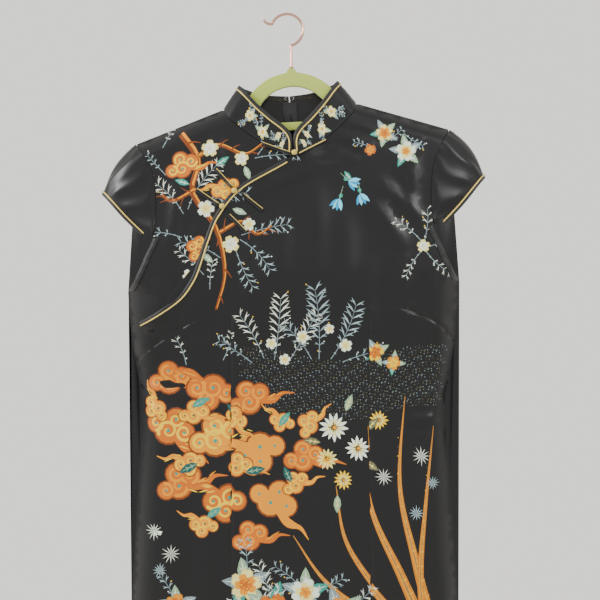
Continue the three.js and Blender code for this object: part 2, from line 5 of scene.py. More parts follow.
import bmesh
import bpy
import numpy as np
from mathutils import Vector
from mathutils.geometry import delaunay_2d_cdt
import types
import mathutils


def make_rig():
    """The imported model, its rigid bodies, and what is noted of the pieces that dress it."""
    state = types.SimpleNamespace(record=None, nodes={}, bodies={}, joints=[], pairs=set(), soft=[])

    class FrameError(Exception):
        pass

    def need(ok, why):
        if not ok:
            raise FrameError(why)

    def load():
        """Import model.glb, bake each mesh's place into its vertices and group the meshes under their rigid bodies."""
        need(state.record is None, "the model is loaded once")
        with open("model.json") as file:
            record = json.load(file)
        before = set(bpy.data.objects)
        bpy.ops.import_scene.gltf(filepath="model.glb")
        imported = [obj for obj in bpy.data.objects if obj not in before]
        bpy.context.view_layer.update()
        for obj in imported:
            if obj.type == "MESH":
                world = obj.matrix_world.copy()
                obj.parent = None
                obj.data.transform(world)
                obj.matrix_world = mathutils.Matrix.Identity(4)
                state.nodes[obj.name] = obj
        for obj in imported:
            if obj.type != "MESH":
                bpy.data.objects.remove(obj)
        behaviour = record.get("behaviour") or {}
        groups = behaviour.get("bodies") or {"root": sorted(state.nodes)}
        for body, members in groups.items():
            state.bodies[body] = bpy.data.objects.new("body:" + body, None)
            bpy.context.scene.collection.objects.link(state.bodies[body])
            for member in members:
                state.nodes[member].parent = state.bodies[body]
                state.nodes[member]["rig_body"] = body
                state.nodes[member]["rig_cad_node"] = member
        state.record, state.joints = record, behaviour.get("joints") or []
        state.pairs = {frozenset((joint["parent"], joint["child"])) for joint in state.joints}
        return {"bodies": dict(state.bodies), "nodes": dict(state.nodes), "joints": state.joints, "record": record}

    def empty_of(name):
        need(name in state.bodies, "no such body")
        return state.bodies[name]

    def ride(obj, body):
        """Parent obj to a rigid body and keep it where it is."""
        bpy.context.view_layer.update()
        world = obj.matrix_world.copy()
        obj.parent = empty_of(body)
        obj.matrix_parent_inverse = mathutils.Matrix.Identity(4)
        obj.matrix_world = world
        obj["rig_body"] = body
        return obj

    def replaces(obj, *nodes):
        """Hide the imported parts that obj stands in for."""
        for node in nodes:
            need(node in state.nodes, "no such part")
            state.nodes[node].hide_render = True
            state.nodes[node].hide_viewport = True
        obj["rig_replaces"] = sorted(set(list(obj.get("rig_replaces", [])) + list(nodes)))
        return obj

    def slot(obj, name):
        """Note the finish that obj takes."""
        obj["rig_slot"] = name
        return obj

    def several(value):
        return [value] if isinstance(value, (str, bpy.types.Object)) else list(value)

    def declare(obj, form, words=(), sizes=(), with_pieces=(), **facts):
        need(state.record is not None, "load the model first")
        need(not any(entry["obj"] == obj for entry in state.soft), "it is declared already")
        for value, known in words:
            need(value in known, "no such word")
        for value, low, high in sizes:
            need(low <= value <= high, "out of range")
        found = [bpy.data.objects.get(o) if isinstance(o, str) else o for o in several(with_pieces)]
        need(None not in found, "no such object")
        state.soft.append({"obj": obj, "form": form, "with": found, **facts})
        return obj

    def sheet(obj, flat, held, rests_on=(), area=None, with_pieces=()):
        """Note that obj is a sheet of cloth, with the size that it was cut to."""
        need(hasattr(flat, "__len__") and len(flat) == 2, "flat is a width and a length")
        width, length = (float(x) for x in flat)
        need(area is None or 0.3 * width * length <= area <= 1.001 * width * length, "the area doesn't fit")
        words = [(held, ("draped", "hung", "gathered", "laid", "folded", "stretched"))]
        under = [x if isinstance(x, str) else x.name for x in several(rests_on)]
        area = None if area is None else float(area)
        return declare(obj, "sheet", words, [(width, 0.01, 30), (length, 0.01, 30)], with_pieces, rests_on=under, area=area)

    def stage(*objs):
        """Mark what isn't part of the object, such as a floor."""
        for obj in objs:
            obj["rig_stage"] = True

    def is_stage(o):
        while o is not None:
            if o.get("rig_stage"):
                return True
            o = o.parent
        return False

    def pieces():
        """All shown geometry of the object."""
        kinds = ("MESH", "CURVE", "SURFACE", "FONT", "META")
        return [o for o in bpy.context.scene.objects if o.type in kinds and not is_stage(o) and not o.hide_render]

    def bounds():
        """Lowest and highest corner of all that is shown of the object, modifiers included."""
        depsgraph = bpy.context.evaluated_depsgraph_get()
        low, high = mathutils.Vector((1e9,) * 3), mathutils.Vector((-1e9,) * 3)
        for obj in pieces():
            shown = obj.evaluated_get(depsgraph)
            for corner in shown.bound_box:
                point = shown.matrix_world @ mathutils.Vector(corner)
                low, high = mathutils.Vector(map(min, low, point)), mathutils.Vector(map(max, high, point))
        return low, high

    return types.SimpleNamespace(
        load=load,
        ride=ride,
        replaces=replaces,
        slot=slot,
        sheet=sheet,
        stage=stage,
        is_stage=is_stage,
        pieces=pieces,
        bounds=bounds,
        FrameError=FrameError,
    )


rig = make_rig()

# Lengths are in millimetres until a mesh is made.
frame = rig.load()
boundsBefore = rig.bounds()
mm = 0.001
rng = random.Random(7)

# The cut of the dress, as in the part: garment coordinates are h across and z up.
sizes = {
    "clothWall": 1.6,
    "visibleWall": 0.9,
    "halfGap": 0.2,
    "lift": 3.2,
    "rounding": 1.35,
    "hemZ": -1262.0,
    "topZ": -126.6,
    "napeZ": -148.0,
    "openingTopZ": -194.0,
    "openingEndZ": -427.0,
    "slitTopZ": -1000.0,
    "underarmZ": -372.0,
    "underarmH": 226.8,
    "hemH": 204.0,
    "dartTopZ": -412.0,
    "dartTipZ": -868.0,
    "shoulderZ": -166.7,
    "shoulderH": 213.0,
    "neckZ": -124.9,
    "neckH": 89.8,
}
sections = [
    (-80, 226.8, 1, 13, 10, 0.047),
    (-125, 226.8, 4, 15, 11, 0.047),
    (-170, 226.8, 8, 17, 12, 0.047),
    (-234, 226.8, 9, 21, 13, 0.044),
    (-345, 226.8, 9.2, 29, 14, 0.036),
    (-372, 226.8, 9.3, 29, 14, 0.033),
    (-430, 222.3, 9.3, 25, 13, 0.02),
    (-498, 212, 9.3, 20, 12, 0.005),
    (-532, 207, 9.3, 19, 12, 0),
    (-575, 208, 9.6, 20, 14, 0),
    (-620, 212.5, 10, 22, 17, 0),
    (-720, 219, 10.6, 26, 22, 0),
    (-830, 224, 11, 26, 23, 0),
    (-1000, 218, 11, 24, 21, 0),
    (-1262, 204, 11, 22, 19, 0),
]
frontNeckRows = [(-124.9, 89.8), (-140, 84), (-158, 66), (-174, 45), (-185, 27), (-191.5, 10), (-194, 1)]
backNeckRows = [(-124.9, 89.8), (-133, 77), (-141, 52), (-146, 24), (-148, 1)]
armholeRows = [
    (-166.7, 213),
    (-192, 197),
    (-216, 188),
    (-258, 184.5),
    (-298, 188),
    (-325, 199.5),
    (-341, 206),
    (-358, 215),
    (-372, 226.8),
]
openingRows = [
    (-194, 1),
    (-201, -3),
    (-237.3, -69.5),
    (-274, -100.7),
    (-304.8, -113.5),
    (-350.6, -128.5),
    (-369.3, -138.6),
    (-384.2, -150.5),
    (-399, -169.5),
    (-413.8, -193.5),
    (-427, -221.5),
]
# s, seamH, seamZ, goldH, goldZ, edgeH, edgeZ, edgeY
collarRows = [
    (0, 7.5, -192.2, 5, -190, 0.6, -189.5, 19.5),
    (0.1, 15, -189.6, 5.2, -173, 0.7, -168, 19),
    (0.22, 27, -184.6, 12.6, -160, 8.2, -155.4, 18),
    (0.34, 45, -173.6, 29.8, -144.6, 25.3, -139.9, 17),
    (0.45, 66, -157.6, 47, -127, 42.6, -122.6, 15.5),
    (0.54, 84, -139.8, 63, -107.5, 59, -102.6, 10),
    (0.6, 89.8, -124.3, 70.3, -98, 66.8, -92.4, 0),
    (0.68, 77, -133, 62, -102, 59, -96.5, -8.5),
    (0.85, 40, -143.4, 33, -110.6, 31.5, -104.8, -11.5),
    (1, 0.6, -147.9, 0.6, -114, 0.6, -108, -12),
]
# t, seamZ, goldH, goldZ, edgeH, edgeZ
sleeveRows = [
    (0, -167, 259.4, -230.6, 263, -234.4),
    (0.12, -182, 250, -239.8, 253.5, -243.6),
    (0.45, -224, 225.5, -268, 229, -272),
    (0.8, -267, 200, -293, 202.5, -297.8),
    (1, -290, 191, -299.5, 192, -304.5),
]


def curveThrough(rows, key=1):
    table = np.array(sorted(rows), float)
    spots, values = table[:, 0], table[:, key]
    slopes = np.empty_like(values)
    slopes[1:-1] = (values[2:] - values[:-2]) / (spots[2:] - spots[:-2])
    slopes[0] = (values[1] - values[0]) / (spots[1] - spots[0])
    slopes[-1] = (values[-1] - values[-2]) / (spots[-1] - spots[-2])

    def at(x):
        x = np.clip(x, spots[0], spots[-1])
        i = np.clip(np.searchsorted(spots, x, side="right") - 1, 0, len(spots) - 2)
        step = spots[i + 1] - spots[i]
        t = (x - spots[i]) / step
        a, b, p, q = values[i], values[i + 1], slopes[i] * step, slopes[i + 1] * step
        return a + t * (p + t * (3 * (b - a) - 2 * p - q + t * (2 * (a - b) + p + q)))

    return at


halfAt, axisAt, frontFull, backFull, tiltAt = (curveThrough(sections, key) for key in range(1, 6))
frontNeckAt, backNeckAt, armholeAt, openingAt = map(
    curveThrough, (frontNeckRows, backNeckRows, armholeRows, openingRows)
)
collarAt = [curveThrough(collarRows, key) for key in range(1, 8)]
sleeveAt = [curveThrough(sleeveRows, key) for key in range(1, 6)]


def smooth(value):
    value = np.clip(value, 0, 1)
    return value * value * (3 - 2 * value)


def fade(value, start, end):
    return 1 - smooth((value - start) / (end - start))


def hang(h, y, z):
    h, y, z = np.broadcast_arrays(np.asarray(h, float), y, z)
    return np.stack([axisAt(z) + h, y, z + tiltAt(z) * h], -1)


shoulderSlope = (sizes["neckZ"] - sizes["shoulderZ"]) / (sizes["shoulderH"] - sizes["neckH"])
shoulderCosine = 1 / math.hypot(1, shoulderSlope)


def depth(h, z, face):
    full = (frontFull if face == "front" else backFull)(z)
    across = np.abs(h)
    side = np.where(z > sizes["underarmZ"], sizes["underarmH"] + 0.9 * (z - sizes["underarmZ"]), halfAt(z))
    below = (sizes["neckZ"] - shoulderSlope * (across - sizes["neckH"]) - z) * shoulderCosine

    def swell(edge):
        return np.sin(math.pi / 2 * np.clip(edge / (sizes["rounding"] * full), 0, 1))

    flutes = 2.4 * smooth((-760 - z) / 400) * np.sin(h / 23 + (0.6 if face == "front" else 2.1))
    return (full + flutes) * swell(side - across) * swell(below)


def openingSlope(z):
    return np.where(z > sizes["openingTopZ"], 0, (openingAt(z + 1) - openingAt(z - 1)) / 2)


def lapLift(h, z):
    past = (h - openingAt(z)) / np.hypot(1, openingSlope(z))
    near = np.where(past > 0, fade(past, 14, 44), fade(-past, 9, 20))
    return sizes["lift"] * near * fade(sizes["openingEndZ"] - z, 12, 60)


def sideSpace(z):
    return sizes["halfGap"] + 3 * smooth((sizes["slitTopZ"] - z) / (sizes["slitTopZ"] - sizes["hemZ"]))


def shoulderAcross(z):
    return sizes["neckH"] + (sizes["neckZ"] - z) / shoulderSlope


def bodyEdge(z):
    below = np.where(z > sizes["underarmZ"], armholeAt(z), halfAt(z))
    return np.where(z > sizes["shoulderZ"], shoulderAcross(z), below)


# Creases, placed one by one: points along the crest, width and height; a dip runs along one side.
frontCreases = [
    ([(60, -150), (92, -160), (128, -176)], 7, 1.3),
    ([(52, -168), (86, -178), (118, -190)], 8, 1.5),
    ([(45, -186), (70, -198), (96, -202)], 6, 1.0),
    ([(112, -238), (140, -258), (176, -292)], 10, 1.9),
    ([(100, -262), (126, -288), (150, -330)], 12, 1.8),
    ([(168, -200), (160, -240), (165, -290)], 9, 1.4),
    ([(24, -230), (30, -300), (22, -392)], 20, 1.9),
    ([(62, -262), (70, -330), (60, -420)], 17, 1.7),
    ([(-26, -260), (-18, -330), (-26, -410)], 19, 1.6),
    ([(-62, -300), (-58, -360), (-66, -452)], 14, 1.4),
    ([(108, -330), (98, -380), (104, -440)], 12, 1.5),
    ([(-118, -190), (-138, -236), (-140, -286)], 14, 1.4),
    ([(-160, -210), (-158, -262), (-168, -316)], 10, 1.5),
    ([(-96, -152), (-104, -178), (-96, -206)], 9, 1.0),
    ([(-186, -352), (-176, -392), (-196, -452)], 13, 1.8),
    ([(200, -352), (186, -398), (198, -462)], 13, 1.7),
    ([(150, -360), (148, -392), (128, -452)], 12, 1.4),
    ([(-208, -500), (-170, -516), (-120, -524)], 8, 1.6),
    ([(-206, -528), (-176, -540), (-140, -538)], 7, 1.2),
    ([(208, -508), (176, -520), (132, -526)], 9, 1.6),
    ([(205, -540), (180, -552), (150, -548)], 6, 1.1),
    ([(-40, -505), (-2, -515), (44, -510)], 9, 1.0),
    ([(-176, -575), (-168, -700), (-178, -860)], 22, 2.0),
    ([(-128, -600), (-118, -760), (-126, -990)], 24, 1.8),
    ([(-46, -590), (-40, -720), (-50, -900)], 26, 1.7),
    ([(6, -640), (14, -820), (8, -1080)], 22, 1.9),
    ([(62, -600), (56, -740), (66, -880)], 25, 2.0),
    ([(122, -640), (128, -840), (120, -1100)], 21, 1.8),
    ([(176, -580), (170, -690), (180, -800)], 18, 1.9),
    ([(150, -900), (160, -1050), (156, -1262)], 20, 1.7),
    ([(-88, -900), (-82, -1080), (-90, -1262)], 21, 1.9),
    ([(-160, -980), (-166, -1120), (-160, -1262)], 16, 1.6),
    ([(-20, -1000), (-26, -1120), (-20, -1262)], 18, 1.5),
    ([(84, -1020), (90, -1150), (86, -1262)], 17, 1.6),
]
backCreases = [
    ([(-58, -176), (-96, -186), (-134, -198)], 9, 1.3),
    ([(44, -170), (88, -184), (120, -204)], 8, 1.4),
    ([(-150, -230), (-132, -300), (-142, -380)], 16, 1.8),
    ([(-80, -230), (-74, -330), (-84, -440)], 21, 1.6),
    ([(-30, -200), (-24, -320), (-34, -430)], 15, 1.2),
    ([(40, -220), (34, -330), (44, -460)], 17, 1.4),
    ([(96, -250), (104, -340), (92, -430)], 20, 1.7),
    ([(160, -240), (146, -320), (156, -400)], 14, 1.7),
    ([(-206, -470), (-168, -500), (-110, -512)], 9, 1.7),
    ([(-208, -520), (-160, -534), (-96, -530)], 8, 1.4),
    ([(206, -486), (158, -508), (100, -510)], 9, 1.6),
    ([(208, -540), (170, -546), (120, -538)], 7, 1.3),
    ([(-60, -470), (-34, -482), (-8, -480)], 7, 1.2),
    ([(62, -480), (38, -494), (8, -490)], 8, 1.1),
    ([(-172, -600), (-180, -760), (-168, -960)], 22, 1.9),
    ([(-110, -620), (-104, -800), (-116, -1060)], 25, 1.8),
    ([(-46, -600), (-52, -760), (-44, -900)], 20, 1.6),
    ([(36, -600), (42, -740), (34, -960)], 22, 1.7),
    ([(96, -630), (90, -820), (100, -1100)], 24, 2.0),
    ([(166, -590), (174, -730), (162, -900)], 19, 1.8),
    ([(-150, -1040), (-146, -1150), (-152, -1262)], 17, 1.6),
    ([(-60, -980), (-66, -1120), (-58, -1262)], 20, 1.8),
    ([(60, -1020), (54, -1140), (62, -1262)], 18, 1.5),
    ([(140, -1000), (150, -1130), (142, -1262)], 19, 1.8),
]
# Darts: the stitched line from its wide end to its tip, and how much its groove sinks.
frontDarts = [
    [(-84.7, -412), (-84.7, -600), (-86, -872)],
    [(101.6, -413), (101.6, -600), (103, -868)],
    [(220.4, -449.3), (201.5, -430.8), (174.5, -414.6), (125.9, -397.7)],
    [(-214.4, -468.3), (-173.8, -438.1), (-119.8, -405.9)],
]
backDarts = [
    [(-96, -400), (-94, -540), (-97, -700)],
    [(98, -404), (96, -540), (99, -696)],
]


def nearest(h, z, points):
    # Signed distance to a line of points, and the share of its length reached.
    best = np.full(h.shape, 1e9)
    share = np.zeros(h.shape)
    side = np.ones(h.shape)
    total = len(points) - 1
    for i in range(total):
        (ax, az), (bx, bz) = points[i], points[i + 1]
        dx, dz = bx - ax, bz - az
        long = dx * dx + dz * dz
        t = np.clip(((h - ax) * dx + (z - az) * dz) / long, 0, 1)
        away = np.hypot(h - ax - t * dx, z - az - t * dz)
        closer = away < best
        best = np.where(closer, away, best)
        share = np.where(closer, (i + t) / total, share)
        side = np.where(closer, np.sign(dx * (z - az) - dz * (h - ax)), side)
    return best * side, share


def bends(points):
    line = [np.array(p, float) for p in points]
    (a, b, c) = line
    return [
        tuple((1 - t) ** 2 * a + 2 * t * (1 - t) * (2 * b - (a + c) / 2) + t * t * c)
        for t in np.linspace(0, 1, 6)
    ]


frontCreases = [(bends(p), w, a) for p, w, a in frontCreases]
backCreases = [(bends(p), w, a) for p, w, a in backCreases]


def relief(h, z, face):
    h, z = np.broadcast_arrays(np.asarray(h, float), np.asarray(z, float))
    out = np.zeros(h.shape)
    creases, darts = (frontCreases, frontDarts) if face == "front" else (backCreases, backDarts)
    for points, width, height in creases:
        spots = np.array(points)
        (lowH, lowZ), (highH, highZ) = spots.min(0) - 4 * width, spots.max(0) + 4 * width
        near = (h > lowH) & (h < highH) & (z > lowZ) & (z < highZ)
        if not near.any():
            continue
        away, share = nearest(h[near], z[near], points)
        # a crease that runs off the hem keeps its height there
        offHem = 1.0 if points[-1][1] < sizes["hemZ"] + 1 else 0.0
        taper = np.sin(math.pi * np.clip(share * (1 - 0.5 * offHem), 0.02, 0.98)) ** 0.8
        crest = np.exp(-((away / width) ** 2))
        dip = np.exp(-(((away - 1.7 * width) / (1.2 * width)) ** 2))
        out[near] += 1.5 * height * taper * (1.15 * crest - 0.6 * dip)
    out *= np.clip(depth(h, z, face) / 11, 0, 1)
    for points in darts:
        spots = np.array(points)
        (lowH, lowZ), (highH, highZ) = spots.min(0) - 30, spots.max(0) + 30
        near = (h > lowH) & (h < highH) & (z > lowZ) & (z < highZ)
        if near.any():
            away, share = nearest(h[near], z[near], points)
            taper = fade(share, 0.75, 1)
            pucker = 0.25 * np.sin(z[near] / 4.3) * np.exp(-((away / 9) ** 2))
            out[near] += taper * (
                0.8 * np.exp(-(((np.abs(away) - 6) / 6) ** 2)) - 1.1 * np.exp(-((away / 1.5) ** 2)) + pucker
            )
    # the turned-up hem shows as a faint ledge
    return out + 0.45 * smooth((sizes["hemZ"] + 34 - z) / 5)


def frontOut(h, z):
    return sideSpace(z) + depth(h, z, "front") + lapLift(h, z) + sizes["clothWall"] + relief(h, z, "front")


def underOut(h, z):
    return sizes["halfGap"] + depth(h, z, "front") + sizes["clothWall"] + relief(h, z, "front")


def backOut(h, z):
    return sideSpace(z) + depth(h, z, "back") + sizes["clothWall"] + relief(h, z, "back")


def collarSpot(way, s, r):
    seamH, seamZ, goldH, goldZ, edgeH, edgeZ, edgeY = (column(s) for column in collarAt)
    behind = s > 0.6
    away = sizes["halfGap"] + sizes["clothWall"] / 2
    out = np.where(behind, -away - depth(seamH, seamZ, "back"), away + depth(seamH, seamZ, "front"))
    goldY = out + (edgeY - out) * 0.86
    low, high = np.clip(r, None, 1), np.clip(r - 1, 0, None)
    h = seamH + (goldH - seamH) * low + (edgeH - goldH) * high
    y = out + (goldY - out) * low + (edgeY - goldY) * high
    z = seamZ + 1 + (goldZ - seamZ - 1) * low + (edgeZ - goldZ) * high
    return hang(way * h, -y, z)


def sleeveSpot(way, s, r):
    t = np.minimum(1, np.abs(s)) ** 1.6
    seamZ, goldH, goldZ, edgeH, edgeZ = (column(t) for column in sleeveAt)
    seamH = armholeAt(seamZ) + 1.4 + np.clip(1 - np.abs(s) / 0.25, 0, None)
    full = np.where(s < 0, frontFull(goldZ), backFull(goldZ))
    seamDepth = np.where(s < 0, depth(seamH, seamZ, "front"), depth(seamH, seamZ, "back"))
    seamY = (sizes["halfGap"] + sizes["clothWall"] / 2 + seamDepth) * np.clip(np.abs(s) / 0.06, 0, 1)
    opened = np.sin(math.pi / 2 * np.clip(np.abs(s) / 0.5, 0, 1))
    hemY = (1 - 0.2 * opened) * full * opened
    low, high = np.clip(r, None, 1), np.clip(r - 1, 0, None)
    bulge = np.where(r < 1, np.sin(math.pi * np.clip(r, -1, 1)), 0)
    puff = 7 * bulge * (1 - t) ** 1.5
    y = seamY + (hemY - seamY) * low + 3 * bulge * opened
    h = seamH + (goldH - seamH) * low + (edgeH - goldH) * high + 0.82 * puff
    z = seamZ + (goldZ - seamZ) * low + (edgeZ - goldZ) * high + 0.57 * puff
    return hang(way * h, np.where(s < 0, -y, y), z)


def offsetSpot(spot, way, s, r, distance):
    step = 1e-3
    along = spot(way, s + step, r) - spot(way, s - step, r)
    across = spot(way, s, r + step) - spot(way, s, r - step)
    normal = np.cross(along, across)
    normal /= np.linalg.norm(normal, axis=-1, keepdims=True)
    return spot(way, s, r) + normal * np.asarray(distance)[..., None]


# Cloth, cord and metal finishes: a shader each, with one shared weave for the fine bump.
def tint(code):
    parts = [int(code[i : i + 2], 16) / 255 for i in (0, 2, 4)]
    return tuple(c / 12.92 if c < 0.04045 else ((c + 0.055) / 1.055) ** 2.4 for c in parts)


def addGroup(name, inputs, outputs):
    group = bpy.data.node_groups.new(name, "ShaderNodeTree")
    for label, kind, default in inputs:
        socket = group.interface.new_socket(label, in_out="INPUT", socket_type=kind)
        socket.default_value = default
    for label, kind in outputs:
        group.interface.new_socket(label, in_out="OUTPUT", socket_type=kind)
    return group, group.nodes.new("NodeGroupInput"), group.nodes.new("NodeGroupOutput")


def addNode(tree, kind, values=None, **settings):
    node = tree.nodes.new(kind)
    for key, value in settings.items():
        setattr(node, key, value)
    for socket, value in (values or {}).items():
        node.inputs[socket].default_value = value
    return node


def wire(tree, links):
    for source, target in links:
        tree.links.new(source, target)


def makeWeave():
    # Fine cross threads and a slow unevenness: a bumped normal and a value round 1.
    sockets = [("Scale", 2400), ("Strength", 0.1), ("Unevenness", 0.06)]
    group, given, result = addGroup(
        "weave",
        [(label, "NodeSocketFloat", default) for label, default in sockets],
        [("Normal", "NodeSocketVector"), ("Value", "NodeSocketFloat")],
    )
    place = addNode(group, "ShaderNodeTexCoord")
    stretch = addNode(group, "ShaderNodeMapping", {"Scale": (1, 1, 0.22)})
    fine = addNode(group, "ShaderNodeTexNoise", {"Detail": 3})
    slow = addNode(group, "ShaderNodeTexNoise", {"Scale": 38, "Detail": 4})
    bump = addNode(group, "ShaderNodeBump", {"Distance": 0.0003})
    spread = addNode(group, "ShaderNodeMapRange", {"From Min": 0.3, "From Max": 0.7})
    low = addNode(group, "ShaderNodeMath", {0: 1}, operation="SUBTRACT")
    high = addNode(group, "ShaderNodeMath", {0: 1})
    wire(group, [
        (place.outputs["Object"], stretch.inputs["Vector"]),
        (stretch.outputs["Vector"], fine.inputs["Vector"]),
        (given.outputs["Scale"], fine.inputs["Scale"]),
        (place.outputs["Object"], slow.inputs["Vector"]),
        (fine.outputs["Fac"], bump.inputs["Height"]),
        (given.outputs["Strength"], bump.inputs["Strength"]),
        (given.outputs["Unevenness"], low.inputs[1]),
        (given.outputs["Unevenness"], high.inputs[1]),
        (slow.outputs["Fac"], spread.inputs["Value"]),
        (low.outputs[0], spread.inputs["To Min"]),
        (high.outputs[0], spread.inputs["To Max"]),
        (bump.outputs["Normal"], result.inputs["Normal"]),
        (spread.outputs["Result"], result.inputs["Value"]),
    ])
    return group


weave = makeWeave()


def makeMaterial(name, look):
    material = bpy.data.materials.new(name)
    material.use_nodes = True
    tree = material.node_tree
    shader = tree.nodes["Principled BSDF"]
    for socket, value in look["shader"].items():
        shader.inputs[socket].default_value = value
    colour = (*look["colour"], 1)
    shader.inputs["Base Color"].default_value = colour
    grain = addNode(tree, "ShaderNodeGroup", node_tree=weave)
    for socket, value in look.get("weave", {}).items():
        grain.inputs[socket].default_value = value
    rough = addNode(tree, "ShaderNodeMath", {1: look["shader"]["Roughness"]}, operation="MULTIPLY")
    wire(tree, [
        (grain.outputs["Normal"], shader.inputs["Normal"]),
        (grain.outputs["Value"], rough.inputs[0]),
        (rough.outputs[0], shader.inputs["Roughness"]),
    ])
    if look.get("printed"):
        ink = addNode(tree, "ShaderNodeAttribute", attribute_name="print")
        tone = addNode(tree, "ShaderNodeMix", data_type="RGBA")
        tone.inputs["A"].default_value = colour
        matt = addNode(tree, "ShaderNodeMath", {1: 0.16}, operation="MULTIPLY_ADD")  # ink is duller
        wire(tree, [
            (ink.outputs["Alpha"], tone.inputs["Factor"]),
            (ink.outputs["Color"], tone.inputs["B"]),
            (tone.outputs["Result"], shader.inputs["Base Color"]),
            (ink.outputs["Alpha"], matt.inputs[0]),
            (rough.outputs[0], matt.inputs[2]),
            (matt.outputs[0], shader.inputs["Roughness"]),
        ])
    return material


satinShader = {"Roughness": 0.34, "Specular IOR Level": 0.3, "Sheen Weight": 0.02, "Sheen Roughness": 0.35}
looks = {
    "printSatin": {"colour": tint("0B0A0C"), "shader": satinShader, "printed": True},
    "plainSatin": {"colour": tint("0B0A0C"), "shader": satinShader},
    "blackBinding": {
        "colour": tint("08080A"),
        "shader": {"Roughness": 0.5, "Specular IOR Level": 0.4, "Sheen Weight": 0.05},
        "weave": {"Strength": 0.2},
    },
    "goldCord": {
        "colour": tint("C6AE58"),
        "shader": {"Roughness": 0.42, "Metallic": 0.25, "Sheen Weight": 0.1},
        "weave": {"Scale": 4200, "Strength": 0.25},
    },
    "zipTape": {"colour": tint("131214"), "shader": {"Roughness": 0.8}, "weave": {"Strength": 0.5}},
    "zipMetal": {
        "colour": tint("3C3B3E"), "shader": {"Roughness": 0.35, "Metallic": 0.85}, "weave": {"Strength": 0.03}
    },
    "hookWire": {
        "colour": tint("A9A9AC"), "shader": {"Roughness": 0.25, "Metallic": 1.0}, "weave": {"Strength": 0.02}
    },
    "flock": {
        "colour": tint("9CAA50"),
        "shader": {
            "Roughness": 0.95, "Sheen Weight": 0.6, "Sheen Roughness": 0.4, "Specular IOR Level": 0.15
        },
        "weave": {"Scale": 1500, "Strength": 0.6, "Unevenness": 0.02},
    },
    "roseGoldWire": {
        "colour": tint("C49784"), "shader": {"Roughness": 0.2, "Metallic": 1.0}, "weave": {"Strength": 0.02}
    },
    "thread": {"colour": tint("2A292C"), "shader": {"Roughness": 0.55}},
    "floorPaint": {"colour": tint("D6D5D0"), "shader": {"Roughness": 0.8}, "weave": {"Strength": 0.0}},
}
materials = {name: makeMaterial(name, look) for name, look in looks.items()}


# Meshes: pieces from points and faces, and thin shells cut along the printed shapes.
def addObject(name, data):
    thing = bpy.data.objects.new(name, data)
    bpy.context.scene.collection.objects.link(thing)
    return thing


def makePiece(name, points, faces, material, slot, normals=None):
    mesh = bpy.data.meshes.new(name)
    mesh.from_pydata((np.asarray(points) * mm).tolist(), [], faces)
    mesh.materials.append(materials[material])
    mesh.shade_smooth()
    if normals is not None:
        mesh.normals_split_custom_set_from_vertices(normals.tolist())
    piece = addObject(name, mesh)
    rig.slot(piece, slot)
    return piece


def settle(piece, nodes, body="root"):
    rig.ride(piece, body)
    if nodes:
        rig.replaces(piece, *nodes)


def gridFaces(rows, columns, loop=False):
    faces = []
    for i in range(rows - 1):
        for j in range(columns if loop else columns - 1):
            k = (j + 1) % columns
            faces.append((i * columns + j, i * columns + k, (i + 1) * columns + k, (i + 1) * columns + j))
    return faces


def triangulate(points, faces, edges):
    return delaunay_2d_cdt([Vector(p) for p in points], edges, faces, 1, 1e-4, True)


def insideOf(points, outline):
    x, y = points[:, 0], points[:, 1]
    inside = np.zeros(len(points), bool)
    for (ax, ay), (bx, by) in zip(outline, np.roll(outline, -1, 0)):
        crosses = (ay > y) != (by > y)
        if by != ay:
            inside ^= crosses & (x < (bx - ax) * (y - ay) / (by - ay) + ax)
    return inside


def gridIn(outline, spacing, margin):
    low, high = outline.min(0), outline.max(0)
    rows = np.arange(low[1] + 0.5 * spacing, high[1], spacing * 0.87)
    spots = []
    for i, v in enumerate(rows):
        start = low[0] + (0.5 if i % 2 else 0.0) * spacing + 0.1
        spots.extend((u, v) for u in np.arange(start, high[0], spacing))
    spots = np.array(spots)
    spots = spots[insideOf(spots, outline)]
    clear = np.full(len(spots), 1e9)
    for a, b in zip(outline, np.roll(outline, -1, 0)):
        d = b - a
        t = np.clip(((spots - a) @ d) / max(d @ d, 1e-9), 0, 1)
        clear = np.minimum(clear, np.linalg.norm(spots - a - t[:, None] * d, axis=1))
    return spots[clear > margin]


